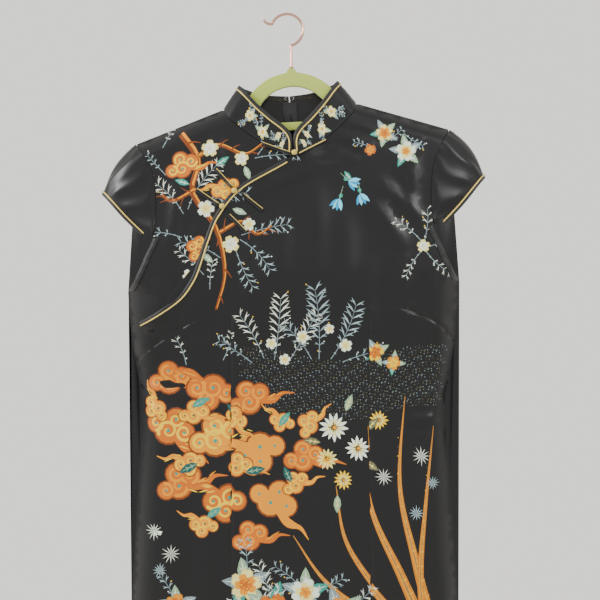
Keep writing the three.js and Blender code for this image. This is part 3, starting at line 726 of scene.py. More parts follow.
def addTile(shell, entries, corner, inner, merged, points, tones, kept):
    # One square of the outer face, cut along every printed shape that reaches it.
    tile, spacing = shell["tile"], shell["spacing"]
    low = np.array(corner, float)
    high = low + tile
    count = int(round(tile / spacing))
    side = np.linspace(0, 1, count + 1)[:-1]
    square = [(low[0] + t * tile, low[1]) for t in side] + [(high[0], low[1] + t * tile) for t in side]
    square += [(high[0] - t * tile, high[1]) for t in side] + [(low[0], high[1] - t * tile) for t in side]
    spots, faces, edges = list(square), [list(range(len(square)))], []

    def addFace(shape):
        # a face that turns clockwise would hold everything outside it
        after = np.roll(shape, -1, 0)
        turning = float((shape[:, 0] * after[:, 1] - shape[:, 1] * after[:, 0]).sum())
        order = list(range(len(spots), len(spots) + len(shape)))
        faces.append(order if turning > 0 else order[::-1])
        spots.extend(map(tuple, shape))

    outline = shell["outline"]
    whole = insideOf(np.array(square), outline).all() and not (
        (outline > low) & (outline < high)
    ).all(1).any()
    first = 1
    if not whole:
        addFace(outline)
        first = 2
    reached = (shell["highs"] > low).all(1) & (shell["lows"] < high).all(1)
    chosen = [entries[i] for i in np.flatnonzero(reached)]
    for entry in chosen:
        addFace(entry[0])
    for line in shell.get("lines", []):
        near = [p for p in line if low[1] - 5 < p[1] < high[1] + 5]
        if near and low[0] - 1 < near[0][0] < high[0] + 1:
            start = len(spots)
            spots.extend(near)
            edges.extend((start + i, start + i + 1) for i in range(len(near) - 1))
    within = ((inner > low + 0.3 * spacing) & (inner < high - 0.3 * spacing)).all(1)
    spots.extend(map(tuple, inner[within]))
    found = triangulate(spots, faces, edges)
    flat = [tuple(v) for v in found[0]]
    names = {}
    zoneOf = shell.get("zoneOf")
    for face, held in zip(found[2], found[5]):
        if 0 not in held or not whole and 1 not in held:
            continue
        for i in face:
            if i not in names:
                key = (round(flat[i][0] * 100), round(flat[i][1] * 100))
                if key not in merged:
                    merged[key] = len(points)
                    points.append(flat[i])
                names[i] = merged[key]
        a, b, c = (names[i] for i in face)
        if len({a, b, c}) < 3:
            continue
        (ax, ay), (bx, by), (cx, cy) = points[a], points[b], points[c]
        if (bx - ax) * (cy - ay) - (by - ay) * (cx - ax) < 0:
            a, b = b, a
        zone = zoneOf(((ax + bx + cx) / 3, (ay + by + cy) / 3)) if zoneOf else None
        spot = ((ax + bx + cx) / 3, (ay + by + cy) / 3)
        over = [k for k in held if k >= first and chosen[k - first][4] in (None, zone)]
        top = max(
            (k for k in over if (chosen[k - first][2] < spot).all() and (chosen[k - first][3] > spot).all()),
            default=None,
        )
        kept.append((a, b, c))
        tones.append(None if top is None else chosen[top - first][1])


def makeShell(name, shell):
    # A thin shell over an outline: the printed outer face, a plain inner face and the rim between.
    shell["outline"] = outline = np.array(shell["outline"], float)
    shell["tile"] = shell.get("across", 6) * shell["spacing"]
    low, high = outline.min(0), outline.max(0)
    entries = []
    for shape, colour in shell.get("art", []):
        for zone, shift in shell["shifts"](shape) if "shifts" in shell else [(None, 0)]:
            moved = np.asarray(shape, float) + (shift, 0)
            if (moved.max(0) > low).all() and (moved.min(0) < high).all():
                entries.append((moved, colour, moved.min(0), moved.max(0), zone))
    shell["lows"] = np.array([e[2] for e in entries]).reshape(-1, 2)
    shell["highs"] = np.array([e[3] for e in entries]).reshape(-1, 2)
    inner = gridIn(outline, shell["spacing"], 0.35 * shell["spacing"])
    inner = np.concatenate([inner, np.array(shell.get("extra", np.zeros((0, 2))))])
    merged, points, tones, kept = {}, [], [], []
    for x in np.arange(low[0] - 1, high[0], shell["tile"]):
        for y in np.arange(low[1] - 1, high[1], shell["tile"]):
            square = np.array(
                [(x + u * shell["tile"] / 4, y + v * shell["tile"] / 4) for u in range(5) for v in range(5)]
            )
            touched = ((outline > (x, y)) & (outline < (x + shell["tile"], y + shell["tile"]))).all(1).any()
            if touched or insideOf(square, outline).any():
                addTile(shell, entries, (x, y), inner, merged, points, tones, kept)
    flat = np.array(points)
    coarse = gridIn(outline, 2.2 * shell["spacing"], shell["spacing"])
    turning = float(
        (outline[:, 0] * np.roll(outline[:, 1], -1) - outline[:, 1] * np.roll(outline[:, 0], -1)).sum()
    )
    order = list(range(len(outline)))
    under = triangulate(
        [*map(tuple, outline), *map(tuple, coarse)], [order if turning > 0 else order[::-1]], []
    )
    flatUnder = np.array([tuple(v) for v in under[0]])
    match = {old: new for new, olds in enumerate(under[3]) for old in olds}
    start, ring = len(flat), len(flat) + len(flatUnder)
    innerFaces = []
    for face in under[2]:
        (ax, ay), (bx, by), (cx, cy) = (flatUnder[i] for i in face)
        clockwise = (bx - ax) * (cy - ay) - (by - ay) * (cx - ax) < 0
        innerFaces.append(tuple(start + i for i in (face if clockwise else face[::-1])))
    # without a print to cut it, the outer face's edge is the outline itself, and the shell is closed
    keys = [(round(x * 100), round(y * 100)) for x, y in outline]
    rim = [merged.get(key, ring + i) if shell.get("closed") else ring + i for i, key in enumerate(keys)]
    rimFaces = []
    for i in range(len(outline)):
        j = (i + 1) % len(outline)
        quad = (rim[j], rim[i], start + match[i], start + match[j])
        rimFaces.append(quad if turning > 0 else quad[::-1])
    place = shell["place"]
    wall = shell.get("wall", sizes["visibleWall"])
    both = np.concatenate([flat, flatUnder, outline])
    spots = np.concatenate(
        [
            place(flat[:, 0], flat[:, 1], 0.0),
            place(flatUnder[:, 0], flatUnder[:, 1], wall),
            place(outline[:, 0], outline[:, 1], 0.0),
        ]
    )
    step = 0.4
    along = place(both[:, 0] + step, both[:, 1], 0.0) - place(both[:, 0] - step, both[:, 1], 0.0)
    across = place(both[:, 0], both[:, 1] + step, 0.0) - place(both[:, 0], both[:, 1] - step, 0.0)
    normals = np.cross(along, across)
    normals /= np.maximum(np.linalg.norm(normals, axis=1, keepdims=True), 1e-9)
    everyFace = kept + innerFaces + rimFaces
    if (normals[: len(flat)] * shell["outward"](spots[: len(flat)])).sum() < 0:
        everyFace = [face[::-1] for face in everyFace]
        normals = -normals
    normals[start:ring] *= -1
    piece = makePiece(name, spots, everyFace, shell["material"], shell["slot"], normals)
    if shell["material"] == "printSatin":
        ink = piece.data.color_attributes.new("print", "FLOAT_COLOR", "CORNER")
        values = np.zeros((len(piece.data.loops), 4), np.float32)
        for i, colour in enumerate(tones):
            if colour is not None:
                values[3 * i : 3 * i + 3] = (*colour, 1)
        ink.data.foreach_set("color", values.ravel())
    print(name, "triangles", len(everyFace) + len(rimFaces), flush=True)
    return piece


def resample(points, spacing):
    points = np.asarray(points, float)
    length = np.concatenate([[0], np.cumsum(np.linalg.norm(np.diff(points, axis=0), axis=1))])
    at = np.linspace(0, length[-1], max(3, int(length[-1] / spacing) + 1))
    return np.stack([curveThrough(list(zip(length, points[:, k])))(at) for k in range(3)], -1)


def sweepMesh(points, radius, sides, pitch=0.0, ply=2, groove=0.22, loop=False):
    # A round tube along points, or with a pitch a cord twisted from plies.
    points = np.asarray(points, float)
    step = np.roll(points, -1, 0) - np.roll(points, 1, 0) if loop else np.gradient(points, axis=0)
    step /= np.linalg.norm(step, axis=1, keepdims=True)
    side = np.cross(step[0], (0.3, 1, 0.2))
    rings = []
    run = 0.0
    for i, (point, way) in enumerate(zip(points, step)):
        side = side - way * (side @ way)
        side /= np.linalg.norm(side)
        up = np.cross(way, side)
        if i:
            run += float(np.linalg.norm(point - points[i - 1]))
        angle = np.arange(sides) * 2 * math.pi / sides
        reach = np.full(sides, radius, float)
        if pitch:
            reach *= 1 - groove + groove * np.abs(np.cos(ply / 2 * (angle - 2 * math.pi * run / pitch)))
        rings.append(point + reach[:, None] * (np.cos(angle)[:, None] * side + np.sin(angle)[:, None] * up))
    faces = gridFaces(len(points), sides, True)
    if loop:
        last = (len(points) - 1) * sides
        faces.extend((last + j, last + (j + 1) % sides, (j + 1) % sides, j) for j in range(sides))
    else:
        faces.append(tuple(range(sides))[::-1])
        faces.append(tuple((len(points) - 1) * sides + j for j in range(sides)))
    return np.concatenate(rings), faces


def join(meshes):
    points, faces = [], []
    for part, sides in meshes:
        start = sum(len(p) for p in points)
        points.append(np.asarray(part))
        faces.extend(tuple(start + i for i in face) for face in sides)
    return np.concatenate(points), faces


# The print: flowers, leaves, ferns, clouds and reeds drawn as flat shapes, last on top.
inks = {
    name: tint(code)
    for name, code in {
        "orange": "B45C00",
        "amber": "CC8000",
        "rust": "6E3200",
        "yellow": "D6AE14",
        "cream": "D2C878",
        "pale": "CDD6C6",
        "frost": "8CA2A6",
        "mist": "6D7F83",
        "teal": "1F8070",
        "deepTeal": "0C4A46",
        "turquoise": "0A86B4",
        "sky": "66C0D8",
        "sage": "7C9879",
        "olive": "5A5B3C",
        "slate": "3A4240",
        "ground": "1B191C",
    }.items()
}


def move(shape, x, z, angle=0.0, size=1.0):
    shape = np.asarray(shape, float) * size
    c, s = math.cos(angle), math.sin(angle)
    return shape @ np.array([[c, s], [-s, c]]) + (x, z)


def blend(first, second, share):
    return tuple(a + (b - a) * share for a, b in zip(inks[first], inks[second]))


def petalShape(length, width, notch=0.1):
    upper = [(0.06, 0.1), (0.5, 0.46), (0.86, 0.4), (1, 0.16)]
    lower = [(x, -y) for x, y in reversed(upper)]
    return [(x * length, y * width) for x, y in upper + [(1 - notch, 0)] + lower]


def leafShape(length, width):
    half = [(0, 0), (0.25, 0.4), (0.55, 0.5), (0.82, 0.26), (1, 0)]
    return [(x * length, y * width) for x, y in half + [(x, -y) for x, y in reversed(half[1:-1])]]


def bladeShape(length, width):
    return [(0, 0), (0.45 * length, 0.5 * width), (length, 0), (0.45 * length, -0.5 * width)]


def smoothLine(points, count):
    points = np.asarray(points, float)
    t = np.arange(len(points), dtype=float)
    at = np.linspace(0, t[-1], count)
    return np.stack([curveThrough(list(zip(t, points[:, k])))(at) for k in (0, 1)], -1)


def ribbon(art, points, wide, narrow, colour, count=12):
    line = smoothLine(points, count)
    way = np.gradient(line, axis=0)
    way /= np.linalg.norm(way, axis=1, keepdims=True)
    across = np.stack([-way[:, 1], way[:, 0]], -1) * (np.linspace(wide, narrow, count) / 2)[:, None]
    art.append((np.concatenate([line + across, (line - across)[::-1]]), colour))


def blossom(art, x, z, size, turn, tones, petals=5, layers=3, heart="amber"):
    for layer in range(layers):
        reach = size * (1 - 0.28 * layer)
        for k in range(petals):
            angle = turn + 0.55 * layer + 2 * math.pi * (k + rng.uniform(-0.08, 0.08)) / petals
            tone = tones[min(layer, len(tones) - 1)]
            width = reach * 4.4 / petals
            if layer == 0:
                art.append((move(petalShape(reach, width), x, z, angle), blend(tone, "ground", 0.42)))
            art.append((move(petalShape(reach * 0.95, width * 0.86), x, z, angle), inks[tone]))
            art.append(
                (move(leafShape(reach * 0.6, width * 0.2), x, z, angle + 0.1), blend(tone, "rust", 0.45))
            )
    for k in range(7):
        angle = turn + k * 0.9
        reach = size * (0.12 if k % 2 else 0.2)
        dot = move(
            petalShape(size * 0.1, size * 0.1, 0),
            x + reach * math.cos(angle),
            z + reach * math.sin(angle),
            angle,
        )
        art.append((dot, inks[heart if k % 2 else "yellow"]))


def chrysanthemum(art, x, z, size, turn, tones):
    for layer, count in enumerate((13, 9)):
        reach = size * (1 - 0.35 * layer)
        for k in range(count):
            angle = turn + 0.2 * layer + 2 * math.pi * k / count
            long = reach * rng.uniform(0.88, 1.06)
            tone = tones[layer % len(tones)]
            root = (x + 0.24 * long * math.cos(angle), z + 0.24 * long * math.sin(angle))
            art.append((move(leafShape(long * 0.76, long * 0.25), *root, angle), inks[tone]))
    art.append((move(petalShape(size * 0.3, size * 0.3, 0), x - size * 0.12, z, 0), inks["amber"]))


def leaf(art, x, z, angle, length, tone, vein="pale"):
    art.append((move(leafShape(length, length * 0.42), x, z, angle), inks[tone]))
    art.append((move(leafShape(length * 0.9, length * 0.05), x, z, angle), inks[vein]))
    for k in range(2):
        for side in (-1, 1):
            at = (0.25 + 0.25 * k) * length
            spot = move([(at, 0)], x, z, angle)[0]
            art.append((move(bladeShape(length * 0.2, length * 0.04), *spot, angle + side * 0.7), inks[vein]))


def fern(art, x, z, angle, length, tone, bend=0.5, dots=True):
    steps = max(5, int(length / 8.4))
    spots = [(x, z)]
    way = angle
    for k in range(steps):
        way += bend / steps
        spots.append(
            (spots[-1][0] + length / steps * math.cos(way), spots[-1][1] + length / steps * math.sin(way))
        )
        reach = length * 0.24 * math.sin(math.pi * (0.16 + 0.8 * (1 - k / steps)))
        for side in (-1, 1):
            tilt = way + side * rng.uniform(0.6, 0.95)
            shade = blend(tone, "ground", rng.uniform(0, 0.35))
            art.append((move(bladeShape(reach, max(1.2, reach * 0.15)), *spots[-1], tilt), shade))
            spot = move([(reach * 0.45, 0)], *spots[-1], tilt)[0]
            art.append((move(bladeShape(reach * 0.45, 1.3), *spot, tilt + side * 0.7), shade))
            if dots and rng.random() < 0.2:
                spot = move([(reach, 0)], *spots[-1], tilt)[0]
                dot = move([(-1.1, 0), (0, 1.1), (1.1, 0), (0, -1.1)], *spot, rng.uniform(0, 6))
                art.append((dot, inks["pale" if rng.random() < 0.6 else "yellow"]))
    ribbon(art, spots, 1.2, 0.5, inks["mist"], steps)


def cloud(art, x, z, size, turn, tones):
    # A traditional curling cloud: a lobed body, a tail and spirals inside the lobes.
    light, middle, dark, heart = tones
    heads = [(0, 0, 0.5), (0.62, 0.16, 0.4), (-0.55, 0.1, 0.36), (0.12, 0.52, 0.42)]
    ring = [(math.cos(a), math.sin(a)) for a in np.linspace(0, 2 * math.pi, 15)[:-1]]

    def at(u, v):
        return move([(u * size, v * size)], x, z, turn)[0]

    for grow, tone in ((1.16, dark), (1.0, middle)):
        for u, v, reach in heads:
            art.append((move(ring, *at(u, v), turn, reach * size * grow), inks[tone]))
        tail = [at(0.5, -0.1), at(1.0, -0.42), at(1.5, -0.34), at(2.0, -0.6)]
        ribbon(art, tail, 0.4 * size * grow, 1.0, inks[tone], 12)
    for u, v, reach in heads:
        spin = rng.choice((-1, 1))
        start = rng.uniform(0, 6)
        centre = at(u, v)
        curl = [
            centre
            + reach * size * (0.84 - 0.74 * t) * np.array(
                [math.cos(start + spin * 8.5 * t), math.sin(start + spin * 8.5 * t)]
            )
            for t in np.linspace(0, 1, 12)
        ]
        ribbon(art, curl, 0.13 * size, 0.05 * size, inks[light], 17)
        eye = move(ring, *centre, turn, reach * size * 0.14)
        art.append((eye, inks[heart]))
    for k in range(5):
        angle = turn + rng.uniform(-0.3, 0.3)
        spot = at(rng.uniform(0.5, 1.3), rng.uniform(-0.4, -0.15))
        art.append((move(leafShape(0.4 * size, 0.06 * size), *spot, angle), inks[light]))


def branch(art, points, width, tones=("rust", "amber")):
    ribbon(art, points, width, width * 0.35, inks[tones[0]], 18)
    line = smoothLine(points, 15)
    ribbon(art, [p + (0.12 * width, 0.2 * width) for p in line], width * 0.4, width * 0.1, inks[tones[1]], 18)
    for k in range(1, 14, 2):
        side = rng.choice((-1, 1))
        way = math.atan2(*(line[k + 1] - line[k - 1])[::-1]) + side * rng.uniform(0.5, 1.0)
        end = line[k] + rng.uniform(9, 17) * np.array([math.cos(way), math.sin(way)])
        ribbon(
            art, [line[k], (line[k] + end) / 2 + (0, side * 1.5), end], width * 0.34, 0.7, inks[tones[0]], 6
        )


def reed(art, points, width, tones=("amber", "olive")):
    ribbon(art, points, width, 0.8, blend(tones[0], "rust", 0.35), 26)
    ribbon(art, points, width * 0.55, 0.6, inks[tones[0]], 26)
    ribbon(art, points, width * 0.12, 0.3, inks[tones[1]], 26)
    line = smoothLine(points, 60)
    for k in range(2, 54, 2):
        way = line[k + 1] - line[k - 1]
        angle = math.atan2(way[1], way[0])
        reach = width * 0.5 * (1 - k / 60)
        for side in (-1, 1):
            art.append(
                (
                    move(bladeShape(reach, 0.9), *line[k], angle + side * 0.6),
                    inks["yellow" if k % 4 else tones[1]],
                )
            )


def starFlower(art, x, z, size, tone):
    for k in range(12):
        art.append((move(bladeShape(size * rng.uniform(0.85, 1.1), 1.3), x, z, k * math.pi / 6), inks[tone]))


def scaleBand(art, lowH, highH, topLine, rows):
    # Rows of overlapping wave scales drawn in dots, a traditional pattern.
    for row in range(rows):
        for i, h in enumerate(np.arange(lowH + (8 if row % 2 else 0), highH, 16)):
            z = topLine(h) - 8 * row
            for reach, count in ((7.2, 5), (4.0, 3)):
                for a in np.linspace(0.12, math.pi - 0.12, count):
                    spot = (h + reach * math.cos(a), z + reach * math.sin(a))
                    tone = ("olive", "mist", "slate")[(i + row + count) % 3]
                    art.append((move([(-0.9, -0.5), (0.9, -0.5), (0, 0.9)], *spot, a), inks[tone]))


def posy(art, x, z, size, turn, tones, leaves=5):
    for k in range(leaves):
        leaf(art, x, z, turn + k * 2 * math.pi / leaves + 0.3, size * 1.7, ("sage", "mist", "teal")[k % 3])
    blossom(art, x, z, size, turn, tones)


def bell(art, x, z, size, angle, tones=("turquoise", "sky")):
    for k, spread in enumerate((-0.55, -0.18, 0.18, 0.55)):
        art.append((move(leafShape(size, size * 0.34), x, z, angle + spread), inks[tones[k % 2]]))
    art.append((move(petalShape(size * 0.4, size * 0.34, 0), x, z, angle + math.pi), inks["teal"]))
    stemEnd = (x - size * 0.7 * math.cos(angle), z - size * 0.9 * math.sin(angle) + 3)
    ribbon(art, [(x, z), stemEnd], 1.0, 0.5, inks["sage"], 4)


def drawFront():
    art = []
    # bodice on the opening's side
    for h, z, angle, length in (
        (-148, -268, 2.0, 62),
        (-142, -262, 1.3, 70),
        (-150, -300, 2.7, 48),
        (-128, -258, 0.5, 66),
        (-70, -300, 0.3, 62),
        (-72, -306, -0.5, 58),
        (-78, -318, -1.3, 56),
        (-98, -330, 2.4, 58),
        (-52, -196, 0.2, 56),
        (-48, -192, 0.9, 44),
        (-176, -176, 1.0, 34),
        (-172, -214, 2.3, 36),
        (-120, -352, 2.2, 46),
        (-112, -372, 1.6, 38),
    ):
        fern(art, h, z, angle, length, rng.choice(("frost", "pale", "frost")), rng.uniform(-0.6, 0.6))
    branch(art, [(-150, -158), (-128, -196), (-136, -240), (-104, -290), (-92, -350), (-104, -400)], 10)
    branch(art, [(-128, -190), (-100, -176), (-66, -190), (-40, -176)], 7)
    branch(art, [(-134, -236), (-162, -250), (-178, -242)], 6)
    branch(art, [(-100, -296), (-70, -282), (-50, -300), (-30, -290)], 6)
    cloud(art, -150, -206, 24, 0.4, ("yellow", "orange", "rust", "teal"))
    cloud(art, -92, -232, 20, 3.5, ("yellow", "amber", "rust", "teal"))
    cloud(art, -128, -318, 18, 1.2, ("yellow", "orange", "rust", "deepTeal"))
    for h, z, size in (
        (-112, -180, 12), (-70, -196, 10), (-118, -262, 12), (-84, -312, 12), (-60, -286, 9), (-140, -352, 9)
    ):
        turn, tones = rng.uniform(0, 6), rng.choice(
            (("cream", "pale"), ("pale", "cream"), ("yellow", "cream"))
        )
        blossom(art, h, z, size, turn, tones)
    for h, z, angle in (
        (-104, -204, 0.6), (-140, -228, 2.8), (-82, -264, -0.4), (-108, -336, 2.4), (-66, -206, -1.2)
    ):
        leaf(art, h, z, angle, 21, rng.choice(("teal", "sage")))
    # upper right
    for h, z, angle, length in ((118, -186, 0.4, 34), (112, -192, 2.6, 30), (150, -172, -0.8, 30)):
        fern(art, h, z, angle, length, "frost", 0.3)
    posy(art, 124, -170, 12, 0.4, ("cream", "amber", "orange"))
    posy(art, 152, -196, 14, 1.4, ("pale", "cream", "amber"))
    blossom(art, 104, -192, 8, 2, ("orange", "amber"))
    for x, z, angle in ((74, -232, -0.5), (90, -250, -1.3), (62, -256, -2.0)):
        bell(art, x, z, 17, angle)
    leaf(art, 78, -232, 2.2, 16, "teal")
    for h, z, angle, length in (
        (172, -318, 2.2, 44),
        (174, -322, 1.2, 48),
        (176, -326, 0.1, 34),
        (172, -330, -2.4, 38),
        (178, -332, -1.0, 40),
    ):
        fern(art, h, z, angle, length, "pale", 0.4)
    blossom(art, 174, -324, 9, 0.3, ("cream", "pale"))
    # waist
    for h, z, angle, length in (
        (-40, -468, 1.9, 66),
        (-26, -470, 1.4, 82),
        (-6, -472, 1.0, 70),
        (24, -470, 2.0, 58),
        (34, -470, 1.5, 92),
        (50, -470, 0.9, 78),
        (66, -474, 0.4, 56),
        (-56, -474, 2.4, 56),
        (-100, -470, 1.1, 38),
        (-150, -476, 1.7, 42),
    ):
        fern(art, h, z, angle, length, rng.choice(("frost", "pale")), rng.uniform(-0.5, 0.5))
    scaleBand(art, -66, 208, lambda h: -470 - 10 * math.sin(h / 40), 10)
    for h, z, size in ((-30, -448, 8), (12, -440, 9), (48, -430, 7), (70, -452, 9), (-12, -470, 8)):
        blossom(art, h, z, size, rng.uniform(0, 6), ("pale", "cream"))
    posy(art, 116, -462, 12, 0.2, ("yellow", "orange"), 4)
    posy(art, 142, -476, 10, 1.2, ("amber", "yellow"), 4)
    # clouds on the opening's side
    for h, z, size, turn in (
        (-178, -500, 30, 0.2),
        (-120, -508, 34, 2.9),
        (-60, -528, 30, 0.5),
        (-182, -566, 34, 5.9),
        (-118, -580, 38, 0.3),
        (-46, -588, 36, 3.4),
        (12, -606, 28, 0.2),
        (-164, -640, 32, 0.5),
        (-96, -656, 34, 3.1),
        (-32, -662, 34, 5.8),
        (22, -560, 20, 1.1),
        (-60, -712, 26, 0.4),
    ):
        tones = (rng.choice(("yellow", "amber")), rng.choice(("orange", "amber")), "rust", "teal")
        cloud(art, h, z, size, turn, tones)
    for h, z, size, turn in (
        (-196, -536, 20, 2.2),
        (-148, -546, 22, 0.2),
        (-86, -552, 22, 5.9),
        (-150, -606, 22, 3.3),
        (-78, -616, 22, 0.1),
        (-14, -552, 18, 2.8),
        (2, -640, 20, 0.6),
        (-128, -690, 20, 3.0),
    ):
        cloud(art, h, z, size, turn, ("yellow", "amber", "rust", "deepTeal"))
    for h, z, angle, size in (
        (-150, -534, 0.5, 26), (-84, -548, 2.4, 26), (-20, -560, 0.9, 24), (-140, -610, 3.6, 28),
        (-66, -622, 0.2, 28), (-4, -636, 2.0, 24), (-126, -682, 0.6, 24),
    ):
        leaf(art, h, z, angle, size, rng.choice(("teal", "deepTeal")), "sage")
    # chrysanthemums, reeds and stars on the other side
    for points, width in (
        ([(196, -842), (170, -740), (150, -640), (158, -520)], 15),
        ([(190, -850), (150, -760), (110, -668), (100, -560)], 17),
        ([(184, -846), (176, -760), (184, -660), (196, -560)], 12),
        ([(180, -850), (120, -790), (70, -716), (56, -640)], 14),
        ([(176, -852), (100, -812), (40, -766), (-2, -706)], 13),
    ):
        reed(art, points, width)
    for h, z, size in ((54, -562, 20), (86, -590, 17), (44, -604, 15), (128, -552, 13), (66, -632, 13)):
        tones = (("cream", "yellow"), ("yellow", "cream"), ("pale", "cream"))[size % 3]
        chrysanthemum(art, h, z, size, rng.uniform(0, 1), tones)
    for h, z, angle in (
        (70, -540, 1.2), (36, -582, 3.0), (104, -606, -0.6), (110, -566, 0.8), (58, -652, -1.6)
    ):
        leaf(art, h, z, angle, 24, rng.choice(("sage", "olive")), "cream")
    for h, z, size in (
        (182, -600, 13), (130, -628, 12), (196, -636, 10), (-196, -700, 12), (-172, -730, 13),
        (-186, -752, 10), (172, -676, 11),
    ):
        starFlower(art, h, z, size, "pale" if size > 11 else "frost")
    # skirt
    for h, z, size, tones in (
        (-66, -772, 22, ("cream", "amber", "orange")),
        (-30, -806, 24, ("orange", "amber", "yellow")),
        (14, -782, 20, ("pale", "cream", "amber")),
        (60, -810, 22, ("amber", "yellow", "cream")),
        (-6, -842, 20, ("cream", "pale", "yellow")),
        (-162, -800, 17, ("amber", "orange", "yellow")),
        (120, -900, 20, ("cream", "amber", "orange")),
        (-120, -940, 21, ("amber", "yellow", "cream")),
        (-40, -990, 22, ("pale", "cream", "amber")),
        (70, -1010, 20, ("orange", "amber", "yellow")),
        (150, -1080, 18, ("cream", "yellow", "amber")),
        (-150, -1110, 20, ("cream", "amber", "orange")),
        (-20, -1150, 22, ("amber", "orange", "yellow")),
        (92, -1190, 20, ("pale", "cream", "amber")),
    ):
        for k in range(3):
            fern(art, h, z, rng.uniform(0, 6), size * 2.6, rng.choice(("frost", "pale")), 0.4)
        posy(art, h, z, size, rng.uniform(0, 6), tones)
    for h, z, size, turn in (
        (-150, -872, 22, 0.4), (40, -900, 24, 3.2), (-70, -1060, 24, 0.2), (150, -980, 22, 2.8),
        (30, -1090, 20, 5.8), (-130, -1200, 22, 0.3), (20, -1225, 20, 3.0),
    ):
        cloud(art, h, z, size, turn, ("yellow", "orange", "rust", "teal"))
    for k in range(26):
        starFlower(art, rng.uniform(-190, 190), rng.uniform(-1240, -830), rng.uniform(7, 11), "mist")
    return art


def drawBack():
    art = []
    for h, z, angle in (
        (-150, -190, -1.0), (-60, -210, -1.6), (140, -260, -2.0), (60, -330, -1.2), (-110, -330, -1.4),
        (150, -420, -1.8), (-30, -430, -1.5),
    ):
        branch(
            art,
            [(h, z), (h + 18 * math.cos(angle), z - 26), (h + 8, z - 60), (h + 30 * math.cos(angle), z - 92)],
            7,
        )
        for k in range(4):
            fern(
                art,
                h + rng.uniform(-16, 16),
                z - rng.uniform(10, 80),
                rng.uniform(0, 6),
                rng.uniform(36, 60),
                rng.choice(("frost", "pale")),
            )
        for k in range(3):
            blossom(
                art,
                h + rng.uniform(-22, 22),
                z - rng.uniform(6, 90),
                rng.uniform(9, 14),
                rng.uniform(0, 6),
                rng.choice((("cream", "pale"), ("amber", "yellow"), ("orange", "amber"))),
            )
    for k in range(30):
        h, z = rng.uniform(-195, 195), -470 - 27 * k + rng.uniform(-10, 10)
        pick = k % 5
        if pick == 0:
            cloud(art, h, z, rng.uniform(24, 32), rng.uniform(0, 6), ("yellow", "orange", "rust", "teal"))
            cloud(
                art,
                h + 54,
                z - 20,
                rng.uniform(20, 28),
                rng.uniform(0, 6),
                ("yellow", "amber", "rust", "deepTeal"),
            )
        elif pick in (1, 3):
            fern(art, h, z, rng.uniform(0, 6), 60, "frost")
            fern(art, h, z, rng.uniform(0, 6), 52, "pale")
            posy(art, h, z, rng.uniform(14, 21), rng.uniform(0, 6), ("cream", "amber", "orange"))
        elif pick == 2:
            chrysanthemum(art, h, z, rng.uniform(14, 20), 0.3, ("cream", "yellow"))
            leaf(art, h + 12, z - 10, -0.6, 24, "sage")
        else:
            for step in range(3):
                starFlower(art, h + 22 * step, z + rng.uniform(-14, 14), rng.uniform(8, 12), "pale")
    return art


frontArt, backArt = drawFront(), drawBack()
print("print shapes", len(frontArt), len(backArt))

# Panels: the print shifts across each waist dart, as sewing the dart shifts it.
dartTake = curveThrough([(-412, 0), (-470, 7), (-532, 13), (-620, 10), (-740, 6), (-868, 0)])
dartLines = [-84.7, 101.6]


def frontZone(spot):
    if not sizes["dartTipZ"] < spot[1] < sizes["dartTopZ"]:
        return 1
    return 0 if spot[0] < dartLines[0] else 2 if spot[0] > dartLines[1] else 1


def frontShifts(shape):
    low, high = shape.min(0), shape.max(0)
    take = float(dartTake((low[1] + high[1]) / 2))
    found = []
    if low[0] + take < dartLines[0]:
        found.append((0, take))
    if high[0] > dartLines[0] and low[0] < dartLines[1] or not found:
        found.append((1, 0))
    if high[0] - take > dartLines[1]:
        found.append((2, -take))
    if high[1] > sizes["dartTopZ"] or low[1] < sizes["dartTipZ"]:
        found = [*[f for f in found if f[0] != 1], (1, 0)]
    return found


def edgeRun(edge, heights):
    return [(float(edge(z)), float(z)) for z in heights]


def besideLine(line, gaps):
    # Points along a line and at each gap to its side, for grooves finer than the grid.
    line = np.array(line, float)
    way = np.gradient(line, axis=0)
    way /= np.linalg.norm(way, axis=1, keepdims=True)
    side = np.stack([-way[:, 1], way[:, 0]], -1)
    return [tuple(spot) for gap in gaps for spot in line + gap * side]


def besideDarts(darts):
    found = []
    for points in darts:
        length = sum(math.dist(a, b) for a, b in zip(points, points[1:]))
        found.extend(besideLine(smoothLine(points, int(length / grooveGaps["step"])), grooveGaps["dart"]))
    return found


dartHeights = np.arange(sizes["dartTopZ"], sizes["dartTipZ"] - 1, -4.0)
dartRuns = [[(h, float(z)) for z in dartHeights] for h in dartLines]
grooveGaps = {"dart": (-5.2, -1.7, 0.0, 1.7, 5.2), "waistDart": (-5, -1.6, 1.6, 5), "step": 4}


def sideHeights(endZ, count):
    upper = np.linspace(sizes["topZ"], sizes["shoulderZ"], 12)[:-1]
    armhole = np.linspace(sizes["shoulderZ"], sizes["underarmZ"], 60)[:-1]
    return np.concatenate([upper, armhole, np.linspace(sizes["underarmZ"], endZ, count)])


def neckRun(edge, lowZ, count):
    return edgeRun(edge, np.linspace(lowZ, sizes["topZ"], count))


def frontOutline():
    hemZ, lapEndZ, lapTopZ = sizes["hemZ"], sizes["openingEndZ"], sizes["openingTopZ"]
    hem = [(float(h), hemZ) for h in np.linspace(sizes["hemH"], -sizes["hemH"], 60)[1:-1]]
    run = edgeRun(bodyEdge, sideHeights(hemZ, 150)) + hem
    run += edgeRun(lambda z: -bodyEdge(z), np.linspace(hemZ, lapEndZ, 140)[:-1])
    run += edgeRun(openingAt, np.linspace(lapEndZ, lapTopZ, 100)[:-1])
    return run + neckRun(frontNeckAt, lapTopZ, 40)


